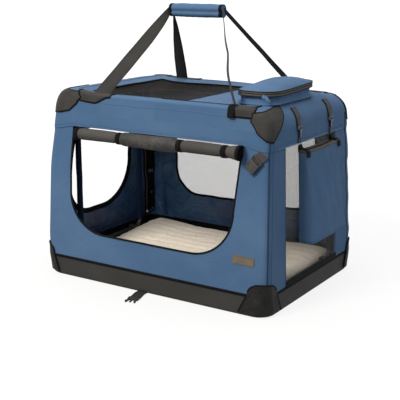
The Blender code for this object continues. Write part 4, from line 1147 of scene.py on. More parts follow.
@dataclass
class Walls(Part):
    """Four cloth walls with their skirts, bindings and seams."""

    foot: float = 0.0587
    head: float = 0.4650
    columns: int = 18
    seam_share: float = 0.56
    skirt_lift: float = 0.0105
    openings: dict[str, Opening] = field(default_factory=lambda: {
        "front": Opening((Flank(0.266, 0.266, 0.108), Flank(0.265, 0.244, 0.124)), 0.135, 0.431),
        "back": Opening((Flank(0.240, 0.240, 0.080),) * 2, 0.148),
        "left": Opening((Flank(0.134, 0.152, 0.090), Flank(0.132, 0.132, 0.128)), 0.141),
        "right": Opening((Flank(0.146, 0.146, 0.006),) * 2, 0.0675),
    })

    def reach(self, face: str, z: Array | float) -> Array:
        """How far a wall goes from its middle: the front and back go round the corners."""
        flat = self.shell.flat_half(face, z)
        return flat + self.shell.radius(z) * QUARTER if face in ("front", "back") else flat - self.shell.seam

    def plan(self, face: str) -> Array:
        """Grid of across and height from the opening's edge out to the wall's edges."""
        opening = self.openings[face]
        inner, outer = opening.outline(), []
        for across, z in inner:
            flank = opening.flanks[across > 0.0]
            turn_z, turn_x = opening.low + flank.radius, flank.foot - flank.radius
            sign = -1.0 if across < 0.0 else 1.0
            share = 2.0 * math.atan2(max(0.0, turn_z - z), abs(across) - turn_x) / QUARTER
            if z >= turn_z - 1e-9 or (abs(across) > turn_x + 1e-9 and share < 1.0):
                high = z if z >= turn_z - 1e-9 else turn_z + (self.foot - turn_z) * share
                outer.append((sign * self.reach(face, high), high))
            elif abs(across) > turn_x + 1e-9:
                side = self.reach(face, self.foot)
                outer.append((sign * (side + (turn_x - side) * (share - 1.0)), self.foot))
            else:
                outer.append((across, self.foot))
        share = np.linspace(0.0, 1.0, self.columns)[:, None, None]
        return inner[None] * (1.0 - share) + np.array(outer)[None] * share

    def make_wall(self, face: str) -> None:
        """One wall: the cloth round its opening, and the skirt that hangs over it.

        Args:
            face: front, back, left or right.
        """
        sewing = Sewing()
        plan, out = self.plan(face), OUT[face]
        rows = self.shell.wall(face, plan[..., 0], plan[..., 1])
        sewing.sheet(rows, self.shell.cloth, (0, 1), flip=looks_against(rows, out), cloth=plan)
        z = np.concatenate([[0.4185, 0.4200, 0.4225], np.linspace(0.427, self.head, 8)])[:, None]
        across = np.linspace(-1.0, 1.0, 141 if face in ("front", "back") else 81) * self.reach(face, z)
        lift = self.skirt_lift * (1.0 - ease_in(np.abs(across), 0.262, 0.330)) * (face == "front")
        high = z + lift * (self.head - z) / (self.head - z[0])
        skirt = self.shell.wall(face, across, high, self.shell.skirt_proud)
        sewing.sheet(skirt, self.shell.cloth, (0, 1), flip=looks_against(skirt, out), cloth=spots(across, high))
        sewing.stitches(resample(skirt[3], 0.004), out, 2)
        # The right skirt's hem cord takes the pale piping: painted highlight along the hem.
        if face == "right":
            sewing.tube(skirt[0, 4:-4], out, 0.0013, 3)
        made = self.piece(sewing, "wall_cloth_" + face, "blue lining thread piping", "base", "cloth_blue",
                          "wall_" + face)
        crumple(made)
        wide, tall = 2.0 * float(self.reach(face, self.foot)), self.head - self.foot

    def make_binding(self, face: str, width: float, finish: str) -> None:
        """Tape bound round the edge of an opening, with its row of stitches.

        Args:
            face: front, back, left or right.
            width: Width of the tape.
            finish: Name of its finish.
        """
        sewing = Sewing()
        across, z = self.openings[face].outline(0.004).T
        edge = self.shell.wall(face, across, z, -self.shell.cloth / 2.0)
        sewing.tape(edge, OUT[face], width, 0.0042, sink=0.0021)
        across, z = self.openings[face].outline(0.004, grow=width * 0.30).T
        sewing.stitches(self.shell.wall(face, across, z, 0.0012), OUT[face], 1, lift=0.0001)
        crumple(self.piece(sewing, "opening_binding_" + face, finish + " thread", "base", "cloth_dark"))

    def make_seams(self) -> None:
        """Piped seams that run up the four corners, between the front or back and the ends; at the near right corner
        the front seam is a thicker dark cord of painted shade.
        """
        sewing = Sewing()
        z = np.linspace(0.0600, 0.4640, 60)
        proud = 0.0002 + self.shell.skirt_proud * ease_in(z, 0.414, 0.420)
        for side in CORNERS:
            # The near right corner's front seam is a thicker cord of dark thread: painted shade where the cloth turns
            # from the front to the end.
            for run, finish in ((self.seam_share, 2 if side == (1, -1) else 0), (1.0, int(side[1] > 0))):
                line = self.shell.corner(side, self.shell.radius(z) * QUARTER * run, z, proud)
                out = (side[0] * math.sin(run * QUARTER), side[1] * math.cos(run * QUARTER), 0.0)
                sewing.tube(line, out, 0.0020 if finish == 2 else 0.0012, finish, flat=0.9)
        crumple(self.piece(sewing, "corner_seams", "blue binding thread", "base", "cloth_blue"))

    def make_corner_tapes(self) -> None:
        """Dark tapes inside the rear corners, with cord and rivet, and dark tape on the right sill."""
        sewing = Sewing()
        z = np.linspace(0.0600, 0.4120, 50)
        arc = float(self.shell.radius(0.1)) * QUARTER
        for side in ((-1, 1), (1, 1)):
            inward = -np.array([*side, 0.0])
            rows = self.shell.corner(side, np.linspace(0.003, arc + 0.0125, 12), z[:, None], -self.shell.cloth - 0.0008)
            sewing.sheet(rows, 0.0008, flip=looks_against(rows, inward))
            line = self.shell.corner(side, arc + 0.006, z, -self.shell.cloth - 0.0036)
            sewing.tube(line, inward, 0.0024, 1, sides=8)
            rivet = line[2] + inward * 0.0026
            sewing.tube([rivet, rivet + inward * 0.0016], Z, 0.0042, 2, sides=12)
        low = self.shell.wall("right", np.linspace(-0.147, 0.147, 60), 0.0655, 0.0024)
        sewing.tape(low, X, 0.0140, 0.0010)
        crumple(self.piece(sewing, "corner_tapes", "binding strap_grey bright", "base", "cloth_dark"))

    def make_net(self, face: str, finish: str) -> None:
        """Net that fills one window.

        Args:
            face: back or right.
            finish: Name of its finish.
        """
        opening = self.openings[face]
        radius = opening.flanks[0].radius
        share_x, share_z = np.linspace(-1.0, 1.0, 61), np.linspace(0.0, 1.0, 45)[:, None]
        z = opening.low - 0.001 + (opening.tall + 0.001) * share_z
        cut = radius - np.sqrt(np.maximum(0.0, radius ** 2 - np.maximum(0.0, opening.low + radius - z) ** 2))
        plan = spots(share_x * (opening.width / 2.0 + 0.001 - cut), z)
        free = arch(share_z) * np.cos(share_x * QUARTER)
        points = self.shell.wall(face, plan[..., 0], plan[..., 1], -0.0012 - 0.002 * free)
        points -= OUT[face] * (self.shell.relief(points) * np.minimum(1.0, 4.0 * free))[..., None]
        sewing = Sewing()
        sewing.strip(points, 0, cloth=plan, flip=looks_against(points, OUT[face]))
        made = self.piece(sewing, "window_net_" + face, finish, "base", "net_grey", "net_" + face)
        crumple(made)

    def build(self) -> None:
        """Make the four walls, their bindings, seams and tapes, and the nets of two windows."""
        for face in self.openings:
            self.make_wall(face)
        for face, width, finish in (("front", 0.0055, "binding"), ("back", 0.0075, "binding"),
                                    ("left", 0.0160, "binding"), ("right", 0.0040, "blue")):
            self.make_binding(face, width, finish)
        self.make_seams()
        self.make_corner_tapes()
        self.make_net("back", "grey_net")
        self.make_net("right", "side_net")


@dataclass
class Top(Part):
    """Top cover with its rim and panel, the net in it, and the patches on its corners."""

    low: Pair = (-0.236, -0.176)
    high: Pair = (0.066, 0.150)
    half: Pair = (0.2827, 0.220)
    rim_width: float = 0.010
    rim_levels: tuple[float, ...] = (0.4650, 0.472, 0.480, 0.487, 0.4935, 0.4995, 0.5048, 0.5092, 0.5122, 0.5142,
                                     0.5160, 0.5175, 0.5188, 0.5196, 0.52)
    panel_corner: float = 0.016
    net_sag: float = 0.014
    net_wave: Swell = Swell((0.07, 0.10, 1.0), 31, 0.003)
    ripples: tuple[Swell, Swell] = (Swell((0.06, 0.09, 1.0), 21, 0.0016), Swell((0.14, 0.04, 1.0), 22, 0.0010))
    free_edge: Pair = (0.281, 0.218)
    free_width: Pair = (0.09, 0.06)
    patch_lows: Pair = (0.460, 0.441)
    patch_heads: Pair = (0.5186, 0.5095)
    patch_edges: tuple[Pairs, Pairs] = (
        ((0.0, 0.0207), (0.04, -0.001), (0.15, -0.034), (0.46, -0.054), (0.78, -0.057), (1.0, -0.028)),
        ((0.0, 0.0270), (0.06, 0.014), (0.33, -0.008), (0.72, -0.021), (1.0, -0.001)))
    patch_cloth: float = 0.0012
    patch_side: float = 0.076

    def panel_height(self, x: Array, y: Array) -> Array:
        """Height of the top panel, which hangs a little between the tubes."""
        free = np.clip((self.free_edge - np.abs(spots(x, y))) / self.free_width, 0.0, 1.0).min(axis=-1)
        ripple = sum(swell.at(spots(x, y, 0.0)) for swell in self.ripples) * free
        return 0.5198 - 0.0030 * ease_in(free, 0.0, 1.0) + ripple + self.shell.top_lift(x, y)

    def rim_ring(self, pull: float, high: float) -> Array:
        """Top edge of the rim drawn inwards, at a height that the frame lifts."""
        half = np.array([*self.half, 1.0])
        ring = self.shell.ring(self.rim_levels[-1], self.shell.skirt_proud) * (half - (pull, pull, 0.0)) / half
        ring[:, 2] = high + self.shell.top_lift(ring[:, 0], ring[:, 1])
        return ring

    def make_cover(self) -> None:
        """Rim, rounded ends and top panel of blue cloth."""
        sewing = Sewing()
        rows = [self.shell.ring(z, self.shell.skirt_proud) for z in self.rim_levels]
        rows += [self.rim_ring(self.rim_width * inset, 0.5202 + 0.0002 * inset) for inset in (0.25, 0.5, 0.75, 1.0)]
        sewing.sheet(np.array(rows), self.shell.cloth, (0, 1), closed=True)
        lines, limits = [], [half - self.rim_width + 0.002 for half in self.half]
        for limit, low, high, counts in zip(limits, self.low, self.high, ((8, 40, 30), (7, 42, 11))):
            lines.append(np.concatenate([np.linspace(-limit, low, counts[0])[:-1], np.linspace(low, high, counts[1]),
                                         np.linspace(high, limit, counts[2])[1:]]))
        plan = grid(*lines)
        corner = self.panel_corner
        over = np.maximum(0.0, np.abs(plan) - (np.array(limits) - corner))
        far = np.hypot(over[..., 0], over[..., 1])
        cut = np.where((over > 0).all(axis=-1) & (far > corner), corner / np.maximum(far, 1e-9), 1.0)[..., None]
        plan = np.sign(plan) * (np.abs(plan) - over * (1.0 - cut))
        panel = spots(plan[..., 0], plan[..., 1], self.panel_height(plan[..., 0], plan[..., 1]))
        for part in (np.s_[:7], np.s_[47:], np.s_[6:48, :8], np.s_[6:48, 46:]):
            sewing.sheet(panel[part], self.shell.cloth, (0, 1), cloth=plan[part])
        seam = self.rim_ring(self.rim_width + 0.001, 0.5206)
        sewing.stitches(np.concatenate([seam, seam[:1]]), Z, 2)
        jag = np.where(np.arange(90) % 4 < 2, 0.0012, -0.0012)
        sewing.tape(spots(np.linspace(0.010, 0.226, 90), jag - 0.2050, 0.5212), Z, 0.0030, 0.0012, 3)
        xs = np.linspace(-0.262, 0.236, 120)
        fold = 0.4985 + 0.0010 * np.sin(xs * 21.0) + 0.0008 * np.sin(xs * 57.0)
        sewing.tube(self.shell.wall("front", xs, fold, self.shell.skirt_proud), -Y, 0.0009)
        made = self.piece(sewing, "top_cloth", "blue lining thread binding", "top", "cloth_blue", "top_cover")

    def make_net(self) -> None:
        """Net of the top window, which sags, with its binding."""
        sewing = Sewing()
        low, high = np.array(self.low), np.array(self.high)
        lines = (np.linspace(low[k] - 0.002, high[k] + 0.002, (49, 53)[k]) for k in (0, 1))
        plan = grid(*lines)
        free = np.clip(1.0 - ((plan - (low + high) / 2.0) / ((high - low) / 2.0)) ** 2, 0.0, 1.0).prod(axis=-1)
        x, y = plan[..., 0], plan[..., 1]
        wave = self.net_wave.at(spots(x, y, 0.0)) * free ** 0.5
        height = self.panel_height(x, y) - 0.0022 - self.net_sag * free ** 0.8 + wave
        sewing.strip(spots(x, y, height), 0, cloth=plan)
        made = self.piece(sewing, "top_net", "black_net", "top", "net_black", "net_top")
        sewing = Sewing()
        x, y = resample(rectangle(low, high), 0.006)[:-1].T
        sewing.tape(spots(x, y, self.panel_height(x, y) - 0.0010), Z, 0.008, 0.0030, closed=True, sink=0.0010)
        self.piece(sewing, "top_net_binding", "binding", "top", "cloth_dark")

    def make_patch(self, side: Side, name: str) -> None:
        """Grey patch wrapped round one upper corner, pointed at its foot and piped.

        Args:
            side: Signs of X and Y of the corner.
            name: Its name, such as front_left.
        """
        right, front = side[0] > 0, side[1] < 0
        low, head = self.patch_lows[right], self.patch_heads[right]
        shares, edges = np.array(self.patch_edges[right]).T
        columns = np.linspace(0.0, 1.0, 25)
        arc = float(self.shell.radius(low)) * QUARTER
        far = arc + self.patch_side if front else arc * 0.9
        top = head + (self.patch_heads[0] - head) * 0.8 * columns ** 0.7
        out = self.shell.skirt_proud + self.shell.seam + self.patch_cloth
        rows = []
        for share in ease_in(np.linspace(0.02, 0.97, 24), 0.0, 1.0):
            start = np.interp(share, shares, edges) * (1.0 if front else 0.4)
            end = edges[0] + (far - edges[0]) * share ** 0.9
            rows.append(self.shell.corner(side, start + (end - start) * columns, low + (top - low) * share, out))
        rows = np.array(rows)
        sewing = Sewing()
        out = rim(sewing.sheet(rows, self.patch_cloth, flip=side[0] * side[1] < 0), closed=True)
        sewing.tube(rim(rows, closed=True) - out * 0.0004, out, 0.0022, 1, closed=True, flat=0.7)
        self.piece(sewing, "patch_cloth_" + name, "patch binding", "top", "cloth_grey", "corner_patch_" + name)

    def build(self) -> None:
        """Make the cover, its net and the four patches."""
        self.make_cover()
        self.make_net()
        for side, name in CORNERS.items():
            self.make_patch(side, name)


@dataclass
class Mat(Part):
    """Fleece mat with sewn ribs, on the board."""

    length: float = 0.634
    depth: float = 0.474
    low: float = 0.0210
    edge: float = 0.031
    crown: float = 0.0120
    pull: float = 0.004
    rib: float = 0.036
    rib_depth: float = 0.0030
    bumps: tuple[Swell, Swell] = (Swell((0.05, 0.03, 1.0), 41, 0.0014), Swell((0.015, 0.012, 1.0), 42, 0.0006))

    def build(self) -> None:
        """Make the mat as one closed padded shape, with its corners puffed against the walls."""
        sewing = Sewing()
        u, v = np.meshgrid(np.linspace(-1.0, 1.0, 121), np.linspace(-1.0, 1.0, 89))
        x = u * (self.length / 2.0 - self.pull * (1.0 - v ** 2))
        y = v * (self.depth / 2.0 - self.pull * (1.0 - u ** 2))
        fall = np.clip((1.0 - np.abs(u) ** 26) * (1.0 - np.abs(v) ** 20), 0.0, 1.0) ** 0.5
        crown = self.crown * np.sqrt(np.clip((1.0 - u ** 4) * (1.0 - v ** 4), 0.0, 1.0))
        ribs = np.abs(np.sin(math.pi * y / self.rib)) ** 0.7 * self.rib_depth - self.rib_depth
        bumps = sum(swell.at(spots(x, y, 0.0)) for swell in self.bumps)
        puff = (0.007 * ease_in(x, 0.10, 0.28) * ease_in(y, 0.02, 0.20)
                + 0.012 * ease_in(-x, 0.12, 0.30) * ease_in(y, -0.06, 0.18))
        top = self.low + 0.004 + (self.edge - 0.004 + crown + puff + (ribs + bumps) * fall) * fall
        rows, flat = spots(x, y, top), spots(x, y, self.low) * (0.994, 0.991, 1.0)
        sewing.strip(rows, 0)
        sewing.strip(flat, 0, flip=True)
        border, under = (np.concatenate([lay[0], lay[1:, -1], lay[-1, -2::-1], lay[-2:0:-1, 0]])
                         for lay in (rows, flat))
        middle = (border + under) / 2.0 * (1.002, 1.002, 1.0)
        sewing.strip(np.stack([under, middle, border]), 0, closed=True)
        self.piece(sewing, "mat_fleece", "fleece", "base", "fleece", "fleece_mat", weld=0.0002)


def rounded_loop(half: Pair, radius: float, counts: tuple[int, int, int]) -> tuple[Array, Array]:
    """Closed rounded rectangle about the origin, counter-clockwise.

    Args:
        half: Half of its width and of its depth.
        radius: Radius of its corners.
        counts: Steps of a corner, of a side along X and of one along Y.

    Returns:
        Its points and their outward normals, two numbers each.
    """
    points, normals = [], []
    for number, side in enumerate(((1, -1), (1, 1), (-1, 1), (-1, -1))):
        axis = 1 - number % 2
        turn = (number - 1.0 + np.linspace(0.0, 1.0, counts[0] + 1)) * QUARTER
        ray = spots(np.cos(turn), np.sin(turn))
        arc = (np.array(half) - radius) * side + ray * radius
        end = arc[-1] + np.array([-ray[-1, 1], ray[-1, 0]]) * 2.0 * (half[axis] - radius)
        line = np.linspace(arc[-1], end, counts[1 + axis], endpoint=False)[1:]
        points += [arc, line]
        normals += [ray, np.repeat(ray[-1:], len(line), axis=0)]
    return np.concatenate(points), np.concatenate(normals)


def squared(wave: Array, power: float) -> Array:
    """A wave raised to a power with its sign kept, which makes a circle squarer."""
    return np.sign(wave) * np.abs(wave) ** power


def turned(place: Sequence[float], x_axis: Sequence[float], z_axis: Sequence[float]) -> Matrix:
    """Matrix with its origin at a place, its X and Z as near as can be to two directions."""
    z_way = Vector(z_axis).normalized()
    y_way = z_way.cross(Vector(x_axis)).normalized()
    matrix = Matrix((y_way.cross(z_way), y_way, z_way)).transposed().to_4x4()
    matrix.translation = Vector(place)
    return matrix


@dataclass(frozen=True)
class Door:
    """One rolled door: its wall, its height, its two ends, where it is tied, and how loose its right end is."""

    face: str
    height: float
    ends: Pair
    ties: tuple[float, ...]
    loose: float = 0.0


@dataclass
class Rolls(Part):
    """Doors rolled up over the front and left openings, with the bands that tie them."""

    radius: float = 0.0168
    neck: float = 0.0147
    core: float = 0.0030
    turns: int = 4
    thick: float = 0.0011
    off_wall: float = 0.0180
    tie_width: float = 0.0134
    tie_cloth: float = 0.0013
    wrap: Pair = (-0.086, 0.089)
    front: Door = Door("front", 0.4135, (-0.2400, 0.2670), (-0.2370, -0.0950, 0.0950, 0.2260), 0.0030)
    left: Door = Door("left", 0.4040, (-0.135, 0.135), (-0.097, 0.097))
    uneven: Swell = Swell(0.028, 51, 0.0005)
    slip: Swell = Swell(1.0, 52, 0.0022)
    crush: Swell = Swell(1.0, 53, 0.0005)

    def outer_radius(self, door: Door, along: Array) -> Array:
        """Radius of the outer turn, drawn in under the ties and loose at the front's right end."""
        near = np.min(np.abs(along[..., None] - np.array(door.ties)), axis=-1)
        drawn = 1.0 - ease_in(near, self.tie_width * 0.42, self.tie_width * 1.5)
        loose = door.loose * ease_in(along, door.ends[1] - 0.030, door.ends[1])
        return self.radius - (self.radius - self.neck) * drawn + self.uneven.at(spots(along, 0.0, 0.0)) + loose

    @staticmethod
    def ray(door: Door, angle: Array) -> Array:
        """Direction out of a roll at an angle forward from its top."""
        return np.sin(angle)[..., None] * OUT[door.face] + np.cos(angle)[..., None] * Z

    def skin(self, door: Door, along: Array | float, angle: Array, radius: Array | float) -> Array:
        """Points of a roll.

        Args:
            door: Which roll.
            along: Distance along it from the wall's middle.
            angle: Angle forward from its top.
            radius: Distance from its own middle line.

        Returns:
            The points, with the roll's sag.
        """
        along, angle, radius = np.broadcast_arrays(along, angle, radius)
        half, way = (self.shell.half_depth, X) if door.face == "front" else (self.shell.half_length, Y)
        height = door.height - 0.0010 * np.cos(along * 11.0) ** 2
        return (OUT[door.face] * (half(door.height) + self.off_wall) + along[..., None] * way + height[..., None] * Z
                + radius[..., None] * self.ray(door, angle))

    def make_roll(self, door: Door) -> None:
        """Door of net and cloth rolled up as a spiral, loose at its ends.

        Args:
            door: Which door.
        """
        sewing = Sewing()
        start, end = door.ends
        turn = np.linspace(0.0, self.turns * FULL, self.turns * 20 + 1)[:, None]
        place = np.linspace(-1.0, 1.0, int((end - start) / 0.0062))
        slip = self.slip.at(spots(turn * 0.35, 0.0, 0.0)) - self.slip.depth
        along = (start + end) / 2.0 + place * ((end - start) / 2.0 + slip * np.abs(place) ** 9)
        crush = self.crush.at(spots(along / 0.03, np.sin(turn) * 1.3, np.cos(turn) * 1.3))
        outer = self.outer_radius(door, along) - self.core + crush
        rows = self.skin(door, along, turn - 1.0, self.core + outer * (1.0 - turn / turn[-1]))
        normal = sewing.sheet(rows, self.thick, flip=looks_against(rows, self.ray(door, np.array(-1.0))))
        for column in (0, -1):
            sewing.tape(rows[:, column], normal[:, column], 0.009, 0.0012, 1)
        if door is self.front:
            around, run = np.linspace(0.0, FULL, 36, endpoint=False), np.linspace(*self.wrap, 26)[:, None]
            loop = self.skin(door, run, around, self.outer_radius(door, run) + 0.0014)
            sewing.sheet(loop, 0.0007, (2, 2), closed=True, flip=looks_against(loop, -Z, closed=True))
        else:
            for place in door.ties:
                self.add_band(sewing, door, place, 1)
        made = self.piece(sewing, "rolled_door_" + door.face, "rolled_net binding wrap", door.face + "_door",
                          "net_black", "door_roll_" + door.face)

    def add_band(self, sewing: Sewing, door: Door, place: float, mark: int) -> None:
        """Tape round a roll, with the end that overlaps in front.

        Args:
            sewing: What gathers it.
            door: Which roll.
            place: Distance along it.
            mark: Which of the piece's materials it takes.
        """
        around, over = np.linspace(0.0, FULL, 40, endpoint=False), np.linspace(0.55, 2.2, 16)
        inner = float(self.outer_radius(door, np.array([place]))[0]) + 0.0002
        sewing.tape(self.skin(door, place, around, inner), self.ray(door, around), self.tie_width, self.tie_cloth,
                    mark, closed=True)
        lift, out = inner + self.tie_cloth + 0.0006 * ease_in(over, 1.6, 2.2), self.ray(door, over)
        sewing.tape(self.skin(door, place + 0.0012, over, lift), out, self.tie_width * 0.92, 0.0012, mark)
        for shift in (-0.0042, 0.0048):
            line = self.skin(door, place + shift, over, lift + 0.0012)
            sewing.stitches(line[:-1], out[:-1], mark, lift=0.0002)

    def build(self) -> None:
        """Make both rolls and the front's four ties."""
        self.make_roll(self.front)
        self.make_roll(self.left)
        for number, place in enumerate(self.front.ties, 1):
            sewing = Sewing()
            self.add_band(sewing, self.front, place, 0)
            self.piece(sewing, "tie_band_%d" % number, "binding", "front_door", "cloth_dark", "door_tie_%d" % number)


@dataclass
class Pocket(Part):
    """Zipped pocket on the top, with its domed lid."""

    middle: Pair = (0.254, -0.042)
    half: Pair = (0.058, 0.126)
    corner: float = 0.046
    counts: tuple[int, int, int] = (18, 6, 40)
    low: float = 0.5203
    high: float = 0.5465
    lid_low: float = 0.5472
    lid_edge: float = 0.0050
    crown: float = 0.0165
    rear_rise: float = 0.0060
    cloth: float = 0.0016
    slider_x: float = 0.286
    slider_bars: tuple[Bar, ...] = (((0.0080, 0.0034, 0.0050), (0.0, -0.0018, -0.0016), 0.0009),
                                    ((0.0034, 0.0016, 0.0030), (0.0, -0.0037, -0.0024), 0.0005))
    ribbon: tuple[Triple, ...] = ((0.0, -0.0042, -0.0020), (0.0050, -0.0062, -0.0050), (0.0100, -0.0050, -0.0060),
                                  (0.0150, -0.0068, -0.0110), (0.0200, -0.0050, -0.0160))
    slack: Swell = Swell((0.06, 0.045, 1.0), 67, 0.0013)

    @cached_property
    def plan(self) -> tuple[Array, Array]:
        """Points of the plan about its middle, and their outward normals."""
        return rounded_loop(self.half, self.corner, self.counts)

    @property
    def out(self) -> Array:
        """Outward directions round the plan."""
        return spots(*self.plan[1].T, 0.0)

    def ring(self, scale: float, z: float, out: Array | float = 0.0) -> Array:
        """Loop round the pocket.

        Args:
            scale: How far it is drawn in about its middle, where it gets rounder too.
            z: Height of its front.
            out: Distance out of the plan.

        Returns:
            Its points.
        """
        points, normals = self.plan
        turn = np.arctan2(*(points / self.half).T[::-1])
        oval = spots(np.cos(turn), np.sin(turn)) * self.half
        flat = (points * scale ** 3 + oval * (1.0 - scale ** 3)) * scale
        x, y = (flat + normals * np.reshape(out, (-1, 1)) + self.middle).T
        rise = self.rear_rise * min(1.0, (z - self.low) / (self.high - self.low))
        return spots(x, y, z + rise * ease_in(y, -0.10, 0.084))

    def gathers(self, share: float, depth: float, seed: int) -> Array:
        """Small puckers round the plan, of a depth, which change with the share of the height."""
        spot = spots(*self.plan[0].T, share * 0.01)
        fine, broad = noise(spot, (0.009, 0.009, 0.006), seed), noise(spot, (0.030, 0.030, 0.012), seed + 1)
        return (fine * 0.5 + broad) * depth

    def make_body(self) -> None:
        """Puckered gusset, its floor, the zip tape and teeth round its top, and a dark cord of painted shade just under
        the tape.
        """
        sewing = Sewing()
        rows = []
        for share in np.linspace(0.0, 1.0, 12):
            out = 0.0010 * (1.0 - share) ** 4 - 0.0075 * arch(min(1.0, share * 1.15)) ** 0.8
            out = out + self.gathers(share, 0.0030 * arch(share), 61) - 0.0004
            rows.append(self.ring(1.0, self.low + (self.high - self.low) * share, out))
        sewing.sheet(np.array(rows), self.cloth, (0, 1), closed=True)
        floor = np.array([self.ring(scale, self.low + 0.0010) for scale in (0.962, 0.7, 0.35, 0.02)])
        sewing.sheet(floor, 0.0008, (1, 1), closed=True, flip=looks_against(floor, Z, closed=True))
        sewing.tape(self.ring(1.0, self.high - 0.0026), self.out, 0.0052, 0.0012, 2, closed=True, sink=0.0004)
        sewing.tube(self.ring(1.0, self.high + 0.0002), self.out, 0.0010, 3, closed=True)
        # Dark cord just under the zip tape: painted shade under the lid's overhang.
        sewing.tube(self.ring(1.0, self.high - 0.0056, 0.0002), self.out, 0.0009, 3, closed=True)
        sewing.tube(self.ring(1.0, self.low + 0.0006, 0.0010), Z, 0.0011, closed=True)
        made = self.piece(sewing, "pocket_gusset", "blue lining zip_tape binding", "top", "cloth_blue", "pocket_body")

    def make_lid(self) -> None:
        """Domed lid with its own zip tape and a piped seam."""
        sewing = Sewing()
        edge = self.lid_low + self.lid_edge
        rows = [self.ring(1.0, z) for z in (self.lid_low, self.lid_low + 0.0025, edge)]
        for share in np.concatenate([np.linspace(0.985, 0.80, 9), np.linspace(0.74, 0.08, 12), [0.02]]):
            pull = self.gathers(share, 0.0006 * ease_in(1.0 - share, 0.0, 0.06) * ease_in(share, 0.6, 0.9), 65)
            row = self.ring(share, edge + self.crown * (1.0 - share ** 3.0) ** 0.9, pull)
            slack = self.slack.at(row * (1.0, 1.0, 0.0)) * arch(share) ** 0.5
            row[:, 2] += slack - 0.0035 * ease_in(-row[:, 1], 0.02, 0.17) * (1.0 - share)
            rows.append(row)
        sewing.sheet(np.array(rows), self.cloth, (0, 1), closed=True)
        sewing.cap(rows[-1], 0, False)
        sewing.tape(self.ring(1.0, self.lid_low + 0.0027), self.out, 0.0048, 0.0010, 2, closed=True, sink=0.0002)
        sewing.tube(self.ring(1.0, edge + 0.0004, 0.0006), self.out, 0.0012, 3, closed=True)
        made = self.piece(sewing, "pocket_lid_cloth", "blue lining zip_tape binding", "lid", "cloth_blue", "pocket_lid")

    def make_slider(self) -> None:
        """Zip slider with a ribbon pull."""
        sewing = Sewing()
        place = np.array([self.slider_x, self.middle[1] - self.half[1], self.high])
        for size, offset, bevel in self.slider_bars:
            sewing.block(size, place + offset, bevel)
        sewing.tape(resample(place + self.ribbon, 0.001), (0.0, -1.0, 0.3), 0.0090, 0.0012, 1)
        self.piece(sewing, "zip_slider_pull", "plastic blue", "zip_slider", "plastic", "pocket_zip_slider")

    def build(self) -> None:
        """Make the pocket, its lid and its slider."""
        self.make_body()
        self.make_lid()
        self.make_slider()


